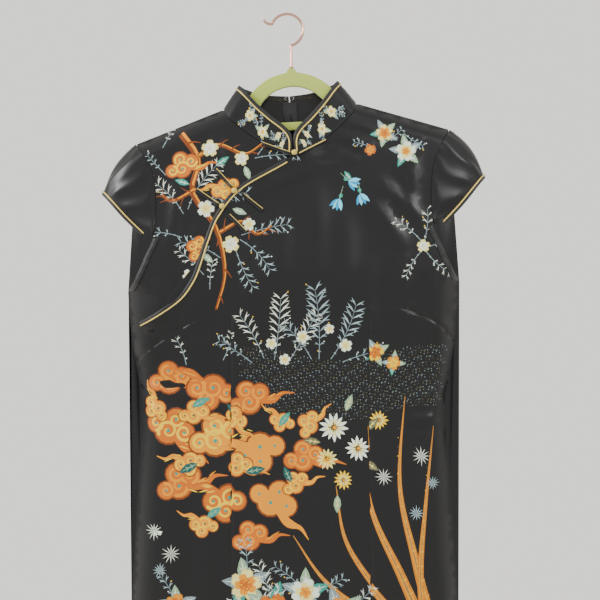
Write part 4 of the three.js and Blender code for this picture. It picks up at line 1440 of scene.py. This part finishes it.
def underOutline():
    lapEndZ, lapTopZ = sizes["openingEndZ"], sizes["openingTopZ"]

    def lapEdge(z):  # 11 mm under the front's opening edge, narrowing to nothing at the neck
        return openingAt(z) + 11 * math.hypot(1, openingSlope(z)) * smooth((lapTopZ - z) / 16)

    run = edgeRun(lambda z: -bodyEdge(z), sideHeights(lapEndZ, 14))
    run += edgeRun(lapEdge, np.linspace(lapEndZ, lapTopZ, 90)[:-1])
    return run + neckRun(lambda z: -frontNeckAt(z), lapTopZ, 40)


def backOutline(way):
    hemZ, napeZ, half = sizes["hemZ"], sizes["napeZ"], sizes["halfGap"]
    run = edgeRun(bodyEdge, sideHeights(hemZ, 150))
    run += [(float(h), hemZ) for h in np.linspace(sizes["hemH"], half, 30)[1:]]
    run += [(half, float(z)) for z in np.linspace(hemZ, napeZ, 140)[1:]]
    run += neckRun(backNeckAt, napeZ, 34)[1:]
    return [(way * h, z) for h, z in run]


panels = {
    "front": {
        "outline": frontOutline(),
        "place": lambda h, z, under: hang(h, -(frontOut(h, z) - under), z),
        "outward": lambda p: np.array([0, -1, 0]),
        "art": frontArt,
        "zoneOf": frontZone,
        "shifts": frontShifts,
        "lines": dartRuns,
        "extra": [
            s for run in dartRuns for s in besideLine(run, grooveGaps["waistDart"])
        ] + besideDarts(frontDarts[2:]),
        "spacing": 9.0,
        "material": "printSatin",
        "slot": "print_satin",
        "sheet": {"flat": (0.49, 1.16), "area": 0.47, "rests_on": ["hanger_body"]},
    },
    "under_front": {
        "outline": underOutline(),
        "place": lambda h, z, under: hang(h, -(underOut(h, z) - under), z),
        "outward": lambda p: np.array([0, -1, 0]),
        "art": [
            (shape, colour)
            for shape, colour in frontArt
            if shape[:, 1].max() > -440 and shape[:, 0].min() < 20
        ],
        "spacing": 7.5,
        "material": "printSatin",
        "slot": "print_satin",
        "sheet": {"flat": (0.26, 0.32), "area": 0.04, "rests_on": ["hanger_body"]},
    },
}
for side, way in (("left", -1), ("right", 1)):
    panels["back_" + side] = {
        "outline": backOutline(way),
        "place": lambda h, z, under: hang(h, backOut(h, z) - under, z),
        "outward": lambda p: np.array([0, 1, 0]),
        "art": backArt,
        "extra": besideDarts([dart for dart in backDarts if dart[0][0] * way > 0]),
        "spacing": 8.5,
        "material": "printSatin",
        "slot": "print_satin",
        "sheet": {"flat": (0.25, 1.15), "area": 0.25, "rests_on": ["hanger_body"]},
    }


def addSheet(piece, cut):
    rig.sheet(
        piece, flat=cut["flat"], held=cut.get("held", "hung"), rests_on=cut["rests_on"], area=cut.get("area")
    )


for name, shell in panels.items():
    piece = makeShell("cloth_" + name, shell)
    settle(piece, [name])
    addSheet(piece, shell["sheet"])
print("panels done")

# Collar halves and sleeves.
collarCreases = [
    (0.16, 2.5, 0.5), (0.3, 3.5, 0.4), (0.47, 3, 0.6), (0.58, 2.5, 0.7), (0.72, 4, 0.5), (0.9, 3, 0.4)
]
sleeveCreases = {
    -1: [
        (-0.78, 0.07, 1.2), (-0.56, 0.06, 1.6), (-0.36, 0.05, 1.3), (-0.16, 0.04, 1.1), (0.2, 0.06, 1.2),
        (0.45, 0.07, 1.5), (0.74, 0.06, 1.2),
    ],
    1: [
        (-0.84, 0.05, 1.0), (-0.62, 0.08, 1.7), (-0.42, 0.05, 1.4), (-0.24, 0.04, 1.3), (0.14, 0.05, 1.1),
        (0.36, 0.06, 1.4), (0.66, 0.08, 1.4),
    ],
}
collarLength, collarHeight, sleeveLength, sleeveHeight = 300.0, 36.0, 320.0, 78.0


def collarPlace(way):
    def place(a, b, under):
        s, r = a / collarLength, b / collarHeight
        swell = sum(h * np.exp(-(((s - c) * collarLength / (3 * w)) ** 2)) for c, w, h in collarCreases)
        swell = swell * np.sin(math.pi * np.clip(r, 0, 1)) * 0.7
        return offsetSpot(collarSpot, way, s, r, way * (0.8 + swell - under))

    return place


def sleevePlace(way):
    def place(a, b, under):
        s, r = a / sleeveLength * 2 - 1, b / sleeveHeight
        swell = 0.0
        for centre, width, height in sleeveCreases[way]:
            line = centre * (1 + 0.25 * (1 - r)) - 0.05 * np.sin(5 * r + centre)
            away = (s - line) / width
            swell = swell + height * (
                np.exp(-(away**2)) - 0.5 * np.exp(-(((away - 1.8) / 1.3) ** 2))
            ) * (0.45 + 0.55 * r)
        swell = swell * np.clip(1 - np.abs(s), 0, 0.12) / 0.12
        gather = 0.3 * np.sin(s * 62) * np.exp(-((r / 0.16) ** 2)) * np.clip(1 - np.abs(s), 0, 1)
        swell = swell * np.clip(np.minimum(r, 1 - r) * 5, 0, 1) + gather
        return offsetSpot(sleeveSpot, way, s, r, -way * (0.8 + swell - under))

    return place


def drawCollar(seed):
    art = []
    rng.seed(seed)
    for u, v, size in ((46, 15, 8.5), (70, 23, 7), (104, 14, 9.5), (136, 22, 8), (206, 17, 9), (262, 18, 8)):
        for k in range(3):
            fern(art, u, v, rng.uniform(0, 6), size * 2.4, "frost", 0.4)
        for k in range(3):
            leaf(art, u, v, rng.uniform(0, 6), size * 1.8, rng.choice(("sage", "mist")))
        blossom(art, u, v, size, rng.uniform(0, 6), ("cream", "pale", "yellow"), heart="orange")
    return art


def stripOutline(length, height, low=0.0):
    across = np.linspace(0, length, 110)
    upright = np.linspace(low, height, 14)
    run = [(float(a), low) for a in across[:-1]] + [(length, float(b)) for b in upright[:-1]]
    return run + [
        (float(a), height) for a in across[::-1][:-1]
    ] + [(0.0, float(b)) for b in upright[::-1][:-1]]


for side, way in (("left", -1), ("right", 1)):
    collar = {
        "outline": stripOutline(collarLength, collarHeight * 0.985),
        "place": collarPlace(way),
        "outward": lambda p: (p - np.array([4, 0, 0])) * np.array([1, 1, 0]),
        "art": drawCollar(21 + way),
        "spacing": 4.0,
        "material": "printSatin",
        "slot": "print_satin",
        "sheet": {"flat": (0.037, 0.21), "area": 0.0063, "rests_on": ["front", "back_" + side]},
    }
    piece = makeShell("cloth_collar_" + side, collar)
    settle(piece, ["collar_" + side])
    addSheet(piece, collar["sheet"])
    sleeve = {
        "outline": stripOutline(sleeveLength, sleeveHeight * 0.992),
        "place": sleevePlace(way),
        "outward": lambda p, way=way: np.stack(
            [np.full(len(p), way * 1.0), p[:, 1] * 0.2, np.full(len(p), 0.5)], -1
        ),
        "spacing": 4.5,
        "across": 73,
        "closed": True,
        "material": "plainSatin",
        "slot": "plain_satin",
        "sheet": {"flat": (0.275, 0.08), "area": 0.0132, "rests_on": ["front", "back_" + side]},
    }
    piece = makeShell("cloth_sleeve_" + side, sleeve)
    settle(piece, ["sleeve_" + side])
    addSheet(piece, sleeve["sheet"])
print("collar and sleeves done")


# Bindings: folded strips, open along the seam, round the edge in section.
def foldedStrip(name, sectionAt, count):
    rows = [sectionAt(t) for t in np.linspace(0, 1, count)]
    points = np.concatenate(rows)
    return makePiece(name, points, gridFaces(len(rows), len(rows[0])), "blackBinding", "black_binding")


def edgeProfile(width, wall, puff):
    # Across and out from the joint on the outer face, round the edge, back to the joint inside.
    outer = [
        (width * t, wall / 2 + puff * math.sin(math.pi * min(1, t * 1.15)))
        for t in (0, 0.15, 0.35, 0.6, 0.85)
    ]
    bend = [
        (width - wall / 2 + wall / 2 * math.sin(a), wall / 2 * math.cos(a))
        for a in np.linspace(0.35, math.pi - 0.35, 5)
    ]
    inner = [(width * t, -wall / 2 - 0.3 * puff * math.sin(math.pi * t)) for t in (0.85, 0.5, 0.0)]
    return outer + bend + inner


trims = {
    "collar": {"spot": collarSpot, "ends": (0, 1), "facing": 1, "rows": 150, "cut": (0.0155, 0.205)},
    "sleeve": {"spot": sleeveSpot, "ends": (-1, 1), "facing": -1, "rows": 130, "cut": (0.0135, 0.21)},
}


def trimBinding(kind, side, way):
    trim = trims[kind]
    spot, (first, last) = trim["spot"], trim["ends"]
    profile = edgeProfile(1.0, 1.0, 0.28)

    def sectionAt(t):
        s = first + (last - first) * t
        long = float(np.linalg.norm(spot(way, s, 2.0) - spot(way, s, 1.001)))
        points = []
        for across, out in profile:
            r = np.float64(1.001 + (0.999 - 0.4 / long) * across)
            points.append(
                offsetSpot(spot, way, np.float64(s), r, trim["facing"] * way * out * sizes["clothWall"])
            )
        return np.array(points)

    piece = foldedStrip(f"cloth_{kind}_binding_{side}", sectionAt, trim["rows"])
    settle(piece, [f"{kind}_{side}_binding"])
    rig.sheet(piece, flat=trim["cut"], held="folded", rests_on=[f"{kind}_{side}"])


for side, way in (("left", -1), ("right", 1)):
    for kind in trims:
        trimBinding(kind, side, way)


openingTrim = {"topZ": -204, "endZ": -420, "cut": (0.015, 0.31)}
armholeTrim = {"topZ": -300, "endZ": -371, "width": 7.5, "cut": (0.0225, 0.081)}


def openingSpot(z, away):
    slope = float(openingSlope(min(z, -195)))
    long = math.hypot(1, slope)
    return float(openingAt(z)) - away / long, z + away * slope / long


def openingSection(t):
    z = openingTrim["topZ"] + (openingTrim["endZ"] - openingTrim["topZ"]) * t
    points = []
    for away, out in edgeProfile(1.0, 1.0, 0.28):
        h, low = openingSpot(z, 0.4 + 5.4 * away)
        points.append(hang(h, -(frontOut(h, low) - 0.8 + 1.6 * out), low))
    return np.array(points).reshape(-1, 3)


openingBinding = foldedStrip("cloth_opening_binding", openingSection, 160)
settle(openingBinding, ["opening_binding"])
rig.sheet(openingBinding, flat=openingTrim["cut"], held="folded", rests_on=["front"])


def armholeSection(side, face):
    way, facing = {"left": -1, "right": 1}[side], {"front": -1, "back": 1}[face]
    outAt = frontOut if face == "front" else backOut

    def sectionAt(t):
        z = armholeTrim["topZ"] + (armholeTrim["endZ"] - armholeTrim["topZ"]) * t
        slope = float(bodyEdge(z + 1) - bodyEdge(z - 1)) / 2
        wide = armholeTrim["width"] * math.hypot(1, slope)
        ripple = 0.35 * math.sin(t * 17 + way) + 0.2 * math.sin(t * 41)
        points = []
        for across, out in edgeProfile(1.0, 1.0, 0.34):
            edge = float(bodyEdge(z))
            h = way * (edge - wide * (1 - across) + 0.4)
            base = float(outAt(way * min(abs(h), edge - 0.6), z))
            points.append(hang(h, facing * (base - 0.4 + 2.6 * (out + 0.2) + ripple * max(out, 0)), z))
        return np.array(points).reshape(-1, 3)

    return sectionAt


for side in ("left", "right"):
    for face in ("front", "back"):
        piece = foldedStrip(f"cloth_armhole_binding_{face}_{side}", armholeSection(side, face), 60)
        settle(piece, [f"armhole_binding_{face}_{side}"])
        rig.sheet(
            piece,
            flat=armholeTrim["cut"],
            held="folded",
            rests_on=["front" if face == "front" else "back_" + side],
        )
print("bindings done")


# Gold cords.
cord = {"radius": 1.05, "pitch": 4.2, "spacing": 0.55, "sides": 10}


def addCord(name, points, node):
    line = resample(points, cord["spacing"])
    print(name, "mm long", round(len(line) * cord["spacing"]))
    points, faces = sweepMesh(line, cord["radius"], cord["sides"], cord["pitch"])
    piece = makePiece(name, points, faces, "goldCord", "gold_cord")
    settle(piece, [node])
    return piece


for side, way in (("left", -1), ("right", 1)):
    for kind, trim in trims.items():
        s = np.linspace(*trim["ends"], 60)
        line = offsetSpot(
            trim["spot"], way, s, np.full(60, 0.995), np.full(60, trim["facing"] * way * (0.8 + 1.2))
        )
        addCord(f"cord_{kind}_{side}", line, f"{kind}_{side}_piping")
openingLine = []
for z in np.linspace(openingTrim["topZ"], openingTrim["endZ"], 60):
    h, low = openingSpot(z, 0)
    openingLine.append(hang(h, -(frontOut(h, low) + 1.3), low).reshape(3))
addCord("cord_opening", openingLine, "opening_piping")
print("cords done")

# Frogs: hairpins of rolled cord with a gold cord beside them, and woven knots.
frogs = [
    {
        "knot": (1.5, -192),
        "arms": [((-42, -177.5), (-4, -193.5)), ((45, -175.5), (7, -193.5))],
        "lift": 1.9,
        "gold": 1,
    },
    {
        "knot": (-79, -240),
        "arms": [((-106, -209), (-82.6, -235.6)), ((-42, -268), (-68.5, -246))],
        "lift": 0.8,
        "gold": None,
    },
    {
        "knot": (-95.5, -260.5),
        "arms": [((-131.5, -236), (-100.6, -258.6)), ((-64, -297), (-87.5, -272.5))],
        "lift": 0.8,
        "gold": None,
    },
]
roll = {"radius": 1.05, "gap": 1.15, "goldRadius": 0.6}


def armPoint(start, end, share, aside, rise, lift):
    start, end = np.array(start, float), np.array(end, float)
    way = (end - start) / np.linalg.norm(end - start)
    spot = start + (end - start) * share + aside * np.array([-way[1], way[0]])
    return hang(spot[0], -(float(frontOut(spot[0], spot[1])) + lift + rise), spot[1]).reshape(3)


def addFrogs():
    for i, frog in enumerate(frogs):
        for j, (start, end) in enumerate(frog["arms"]):
            rolls, golds = [], []
            length = math.dist(start, end)
            hairpin = [(t, roll["gap"]) for t in np.linspace(1, 0.06, 14)]
            turn = [
                (0.06 - 1.25 * math.sin(a) / length * roll["gap"], roll["gap"] * math.cos(a))
                for a in np.linspace(0.3, math.pi - 0.3, 6)
            ]
            path = hairpin + turn + [(t, -roll["gap"]) for t in np.linspace(0.06, 1, 14)]
            line = resample([armPoint(start, end, t, a, 1.05, frog["lift"]) for t, a in path], 0.9)
            rolls.append(sweepMesh(line, roll["radius"], 10))
            golden = frog["gold"] == j
            aside = 0 if golden else (2.5 if j == 0 else -2.5)
            edge = [
                armPoint(start, end, t, aside, 1.9 if golden else 1.3, frog["lift"])
                for t in np.linspace(0.02, 0.98, 16)
            ]
            golds.append(sweepMesh(resample(edge, 0.5), roll["goldRadius"] * (1.6 if golden else 1), 8, 2.6))
            side = ("left", "right")[j]
            if j == 0:
                knot = hang(frog["knot"][0], 0, frog["knot"][1]).reshape(3)
                y = line[-1][1]
                ring = [
                    (knot[0] + 3.1 * math.cos(a), y, knot[2] + 3.1 * math.sin(a))
                    for a in np.linspace(0, 2 * math.pi, 25)[:-1]
                ]
                rolls.append(sweepMesh(ring, 0.8, 8, loop=True))
            points, faces = join(rolls)
            piece = makePiece(f"frog_{i + 1}_{side}_roll", points, faces, "blackBinding", "black_binding")
            settle(piece, [f"frog_{i + 1}_{side}"])
            points, faces = join(golds)
            settle(makePiece(f"frog_{i + 1}_{side}_gold", points, faces, "goldCord", "gold_cord"), [])
        h, z = frog["knot"]
        out = float(frontOut(h, z)) + 3.9 + max(frog["lift"], 2.8)
        centre = hang(h, -out, z).reshape(3)
        strands = []
        for axis in range(3):
            for lean in (-0.42, 0.0, 0.42):
                loop = []
                for a in np.linspace(0, 2 * math.pi, 33)[:-1]:
                    reach = 3.05 + 0.32 * math.cos(4 * a + axis * 2)
                    flat = [
                        reach * math.cos(a) * math.cos(lean),
                        reach * math.sin(a) * math.cos(lean),
                        reach * math.sin(lean),
                    ]
                    loop.append(centre + np.roll(flat, axis))
                strands.append(sweepMesh(np.array(loop), 0.72, 7, loop=True))
        points, faces = join(strands)
        piece = makePiece(f"frog_{i + 1}_knot_weave", points, faces, "goldCord", "gold_cord")
        settle(piece, [f"frog_{i + 1}_knot"])


addFrogs()
print("frogs done")


# Zip, hook and eye.
def backMiddle(z):
    return float(sizes["halfGap"] + depth(np.float64(0), np.float64(z), "back") + sizes["clothWall"] / 2)


collarBackY = curveThrough([(-108, 12), (sizes["napeZ"], backMiddle(sizes["napeZ"]))])
zipTape = {"topZ": -117, "endZ": -640, "half": 10, "wall": 0.55, "cut": (0.02, 0.525)}
teeth = {"topZ": -134, "endZ": -636, "aside": 0.55, "lift": 2.3, "pitch": 1.25}
tapeStitch = {"topZ": -152, "endZ": -634, "aside": 7.2, "lift": 2.0, "pitch": 3.4}


def backAt(z):
    return hang(0, collarBackY(z) if z > sizes["napeZ"] else backMiddle(z), z).reshape(3)


def addTape():
    napeZ, across = sizes["napeZ"], 9
    heights = np.concatenate(
        [np.linspace(zipTape["topZ"], napeZ + 1, 16), np.linspace(napeZ - 1, zipTape["endZ"], 120)]
    )
    rows = []
    for z in heights:
        ripples = [
            (u * zipTape["half"], -1.35 - 0.15 * math.cos(u * 6), 0) for u in np.linspace(-1, 1, across)
        ]
        rows.append([backAt(z) + ripple for ripple in ripples])
    points = np.array(rows).reshape(-1, 3)
    back = points - (0, zipTape["wall"], 0)
    faces = gridFaces(len(rows), across)
    start = len(points)
    under = [tuple(start + i for i in face[::-1]) for face in faces]
    last = len(rows) - 1
    edge = [i * across for i in range(len(rows))] + [last * across + j for j in range(1, across)]
    edge += [i * across + across - 1 for i in range(last - 1, -1, -1)] + list(range(across - 2, 0, -1))
    rim = [(edge[k - 1], edge[k], start + edge[k], start + edge[k - 1]) for k in range(len(edge))]
    piece = makePiece("zip_tape", np.concatenate([points, back]), faces + under + rim, "zipTape", "zip_tape")
    settle(piece, ["back_zip"])
    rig.sheet(piece, flat=zipTape["cut"], held="hung", rests_on=["back_left", "back_right"])


addTape()


def polish(name, node, bevel, segments, material, slot, body="root"):
    # A rounded copy of a part's mesh, its vertices merged first.
    source = frame["nodes"][node]
    work = bmesh.new()
    work.from_mesh(source.data)
    bmesh.ops.remove_doubles(work, verts=work.verts, dist=1e-5)
    bmesh.ops.dissolve_limit(work, angle_limit=0.02, verts=work.verts, edges=work.edges)
    sharp = [e for e in work.edges if len(e.link_faces) == 2 and e.calc_face_angle() > 0.6]
    bmesh.ops.bevel(
        work,
        geom=sharp,
        offset=bevel * mm,
        segments=segments,
        profile=0.5,
        affect="EDGES",
        clamp_overlap=True,
    )
    bmesh.ops.triangulate(work, faces=[f for f in work.faces if len(f.verts) > 4])
    mesh = bpy.data.meshes.new(name)
    work.to_mesh(mesh)
    work.free()
    mesh.materials.append(materials[material])
    mesh.shade_smooth()
    piece = addObject(name, mesh)
    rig.slot(piece, slot)
    settle(piece, [node], body)
    return piece


polish("slider_metal", "zip_slider", 0.35, 3, "zipMetal", "zip_metal")
polish("pull_metal", "zip_pull", 0.3, 3, "zipMetal", "zip_metal", "pull")
polish("hanger_flocked", "hanger_body", 1.7, 5, "flock", "flock")


neckWire = {"radius": 0.42, "bow": [(0, 1.6), (1.2, 2), (2.4, 0), (1.2, -2), (0, -1.6)]}


def addWires():
    for name, way in (("neck_hook", -1), ("neck_eye", 1)):
        at = collarSpot(way, np.float64(0.985), np.float64(1.3)).reshape(3)
        y = at[1] - sizes["clothWall"] / 2 - 1.1
        line = resample([(at[0] + way * a, y, at[2] + b) for a, b in neckWire["bow"]], 0.25)
        points, faces = sweepMesh(line, neckWire["radius"], 10)
        settle(makePiece(name + "_wire", points, faces, "hookWire", "hook_wire"), [name])


addWires()
hook = {
    "reach": 22.0,
    "wireRadius": 2.0,
    "turn": (-76, 158),
    "stem": [(5.9, 0, -71.9), (5.7, 0, -60), (5.6, 0, -50)],
    "tip": [(-24.5, 0, -11.6), (-29, 0, -9.6), (-31.4, 0, -6.8)],
    "ferrule": {"centre": (5.9, -71.4), "reach": 2.6, "radius": 0.8},
}


def addHook():
    reach, drop, radius = hook["reach"], hook["wireRadius"] - hook["reach"], hook["wireRadius"] - 0.1
    turn = np.radians(np.linspace(*hook["turn"], 40))
    bend = [(reach * math.cos(a), 0, reach * math.sin(a) + drop) for a in turn]
    line = resample(hook["stem"] + bend + hook["tip"], 1.0)
    points, faces = sweepMesh(line, radius, 20)
    # a round cap on the wire's free end
    end, way = line[-1], (line[-1] - line[-2]) / np.linalg.norm(line[-1] - line[-2])
    rings = 7
    angles = [math.pi / 2 * i / (rings - 1) for i in range(rings)]
    caps = sweepMesh(
        np.array([end + way * radius * math.sin(a) for a in angles]), radius, 20
    )[0].reshape(rings, 20, 3)
    for i, a in enumerate(angles):
        centre = caps[i].mean(0)
        caps[i] = centre + (caps[i] - centre) * max(0.02, math.cos(a))
    points, faces = join([(points, faces), (caps.reshape(-1, 3), gridFaces(rings, 20, True))])
    settle(makePiece("hook_wire", points, faces, "roseGoldWire", "rose_gold_wire"), ["hanger_hook"])
    ferrule = hook["ferrule"]
    (x, z), reach = ferrule["centre"], ferrule["reach"]
    turns = np.linspace(0, 2 * math.pi, 29)[:-1]
    ring = np.array([(x + reach * math.cos(a), reach * math.sin(a), z) for a in turns])
    points, faces = sweepMesh(ring, ferrule["radius"], 10, loop=True)
    settle(makePiece("hook_ferrule", points, faces, "roseGoldWire", "rose_gold_wire"), [])


addHook()
print("zip, wires and hanger done")


# Repeats: stitches and zip teeth set out along guide lines.
def makeRepeat():
    group = bpy.data.node_groups.new("repeatAlong", "GeometryNodeTree")
    sockets = (
        ("Geometry", "Geometry"), ("Item", "Object"), ("Pitch", "Float"), ("Jitter", "Float"), ("Seed", "Int"),
        ("Material", "Material"),
    )
    for label, kind in sockets:
        group.interface.new_socket(label, in_out="INPUT", socket_type="NodeSocket" + kind)
    group.interface.new_socket("Geometry", in_out="OUTPUT", socket_type="NodeSocketGeometry")
    given, result = addNode(group, "NodeGroupInput"), addNode(group, "NodeGroupOutput")
    toCurve = addNode(group, "GeometryNodeMeshToCurve")
    spaced = addNode(group, "GeometryNodeResampleCurve", mode="LENGTH")
    tangent = addNode(group, "GeometryNodeInputTangent")
    align = addNode(group, "FunctionNodeAlignEulerToVector", axis="X")
    item = addNode(group, "GeometryNodeObjectInfo")
    put = addNode(group, "GeometryNodeInstanceOnPoints")
    chance = addNode(group, "FunctionNodeRandomValue", data_type="FLOAT")
    smallest, largest = (
        next(s for s in chance.inputs if s.name == name and s.type == "VALUE") for name in ("Min", "Max")
    )
    largest.default_value = 1.0
    low = addNode(group, "ShaderNodeMath", {0: 1}, operation="SUBTRACT")
    real = addNode(group, "GeometryNodeRealizeInstances")
    paint = addNode(group, "GeometryNodeSetMaterial")
    wire(group, [
        (given.outputs["Geometry"], toCurve.inputs["Mesh"]),
        (toCurve.outputs["Curve"], spaced.inputs["Curve"]),
        (given.outputs["Pitch"], spaced.inputs["Length"]),
        (spaced.outputs["Curve"], put.inputs["Points"]),
        (tangent.outputs["Tangent"], align.inputs["Vector"]),
        (align.outputs["Rotation"], put.inputs["Rotation"]),
        (given.outputs["Item"], item.inputs["Object"]),
        (item.outputs["Geometry"], put.inputs["Instance"]),
        (given.outputs["Jitter"], low.inputs[1]),
        (low.outputs[0], smallest),
        (given.outputs["Seed"], chance.inputs["Seed"]),
        (next(s for s in chance.outputs if s.type == "VALUE"), put.inputs["Scale"]),
        (put.outputs["Instances"], real.inputs["Geometry"]),
        (real.outputs["Geometry"], paint.inputs["Geometry"]),
        (given.outputs["Material"], paint.inputs["Material"]),
        (paint.outputs["Geometry"], result.inputs["Geometry"]),
    ])
    return group


repeatAlong = makeRepeat()


def makeItem(name, length, radius, sides):
    # A small rounded bar along X, repeated along the guides.
    spots = [(-length / 2, 0.35), (-length / 3, 0.9), (length / 3, 0.9), (length / 2, 0.35)]
    points = [
        (x, share * radius * math.cos(a), share * radius * math.sin(a))
        for x, share in spots
        for a in np.arange(sides) * 2 * math.pi / sides
    ]
    faces = gridFaces(len(spots), sides, True) + [
        tuple(range(sides))[::-1], tuple(range(3 * sides, 4 * sides))
    ]
    mesh = bpy.data.meshes.new(name)
    mesh.from_pydata((np.array(points) * mm).tolist(), [], faces)
    mesh.shade_smooth()
    item = addObject(name, mesh)
    return item


def repeat(name, lines, item, pitch, jitter, material, slot):
    points = np.concatenate(lines)
    edges, start = [], 0
    for line in lines:
        edges.extend((start + i, start + i + 1) for i in range(len(line) - 1))
        start += len(line)
    guide = bpy.data.meshes.new(name + "_guide")
    guide.from_pydata((points * mm).tolist(), edges, [])
    carrier = addObject(name + "_guide", guide)
    modifier = carrier.modifiers.new("repeat", "NODES")
    modifier.node_group = repeatAlong
    values = {"Item": item, "Pitch": pitch * mm, "Jitter": jitter, "Seed": 5, "Material": materials[material]}
    for socket in repeatAlong.interface.items_tree:
        if socket.in_out == "INPUT" and socket.name in values:
            modifier[socket.identifier] = values[socket.name]
    bpy.context.view_layer.update()
    seen = bpy.context.evaluated_depsgraph_get()
    mesh = bpy.data.meshes.new_from_object(carrier.evaluated_get(seen))
    bpy.data.objects.remove(carrier)
    piece = addObject(name, mesh)
    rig.slot(piece, slot)
    settle(piece, [])
    print(name, "triangles", sum(len(p.vertices) - 2 for p in mesh.polygons))
    return piece


stitch = makeItem("stitch", 2.0, 0.22, 6)
tooth = makeItem("tooth", 0.7, 0.55, 6)


stitchLines = []
for way in (-1, 1):
    for outAt, facing in ((frontOut, -1), (backOut, 1)):
        z = np.linspace(-302, -369, 40)
        slope = (bodyEdge(z + 1) - bodyEdge(z - 1)) / 2
        h = way * (bodyEdge(z) - 9.2 * np.hypot(1, slope))
        stitchLines.append(hang(h, facing * (outAt(h, z) + 0.12), z))
    s = np.linspace(-0.97, 0.97, 90)
    stitchLines.append(offsetSpot(sleeveSpot, way, s, np.full(90, 0.955), np.full(90, -way * 0.95)))
    s = np.linspace(0.02, 0.98, 90)
    stitchLines.append(offsetSpot(collarSpot, way, s, np.full(90, 0.05), np.full(90, way * 0.95)))
for outAt, facing in ((frontOut, -1), (backOut, 1)):
    h = np.linspace(-198, 198, 120)
    z = np.full(120, -1231.0)
    stitchLines.append(hang(h, facing * (outAt(h, z) + 0.08), z))
repeat("stitches", stitchLines, stitch, 3.1, 0.2, "thread", "black_binding")

def zipLines(run, heights):
    return [
        np.array([backAt(z) + (aside, -run["lift"], 0) for z in heights])
        for aside in (-run["aside"], run["aside"])
    ]


napeZ = sizes["napeZ"]
toothHeights = np.concatenate(
    [np.linspace(teeth["topZ"], napeZ + 1, 8), np.linspace(napeZ - 1, teeth["endZ"], 80)]
)
repeat("teeth", zipLines(teeth, toothHeights), tooth, teeth["pitch"], 0.1, "zipTape", "zip_tape")
tapeHeights = np.linspace(tapeStitch["topZ"], tapeStitch["endZ"], 80)
repeat(
    "tape_stitches", zipLines(tapeStitch, tapeHeights), stitch, tapeStitch["pitch"], 0.2, "thread", "zip_tape"
)
for item in (stitch, tooth):
    bpy.data.objects.remove(item)
print("repeats done")


# Floor, light and camera.
room = {"floorHalf": 1.8, "floorZ": -1.42, "air": tint("D5D4D0"), "strength": 1.95}
shot = {"at": (0.0178, -1.325, -0.390), "lens": 58, "sensor": 36}


def addFloor():
    half, z = room["floorHalf"], room["floorZ"]
    mesh = bpy.data.meshes.new("floor")
    mesh.from_pydata(
        [(-half, -half, z), (half, -half, z), (half, half, z), (-half, half, z)], [], [(0, 1, 2, 3)]
    )
    mesh.materials.append(materials["floorPaint"])
    floor = addObject("floor", mesh)
    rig.stage(floor)


addFloor()
world = bpy.data.worlds.new("room")
bpy.context.scene.world = world
world.use_nodes = True
air = world.node_tree.nodes["Background"]
air.inputs["Color"].default_value = (*room["air"], 1)
air.inputs["Strength"].default_value = room["strength"]

lamps = [
    {"name": "key", "at": (-1.9, -1.0, 0.7), "aim": (0.02, 0, -0.45), "size": 0.8, "power": 70},
    {"name": "fill", "at": (1.5, -1.9, 0.9), "aim": (0.02, 0, -0.4), "size": 0.9, "power": 34},
    {"name": "behind", "at": (0.6, 2.6, 1.0), "aim": (0, 0, -0.6), "size": 1.8, "power": 30},
]
for lamp in lamps:
    data = bpy.data.lights.new(lamp["name"], "AREA")
    data.size = lamp["size"]
    data.energy = lamp["power"]
    light = addObject(lamp["name"], data)
    light.location = lamp["at"]
    light.rotation_euler = (Vector(lamp["aim"]) - Vector(lamp["at"])).to_track_quat("-Z", "Y").to_euler()

view = bpy.data.cameras.new("camera")
view.lens = shot["lens"]
view.sensor_width = shot["sensor"]
camera = addObject("camera", view)
camera.location = shot["at"]
camera.rotation_euler = (math.pi / 2, 0, 0)
bpy.context.scene.camera = camera
print("floor, lamps and camera done")

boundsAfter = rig.bounds()
with open("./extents.json", "w") as out:
    json.dump([[[float(x) for x in corner] for corner in box] for box in (boundsBefore, boundsAfter)], out)
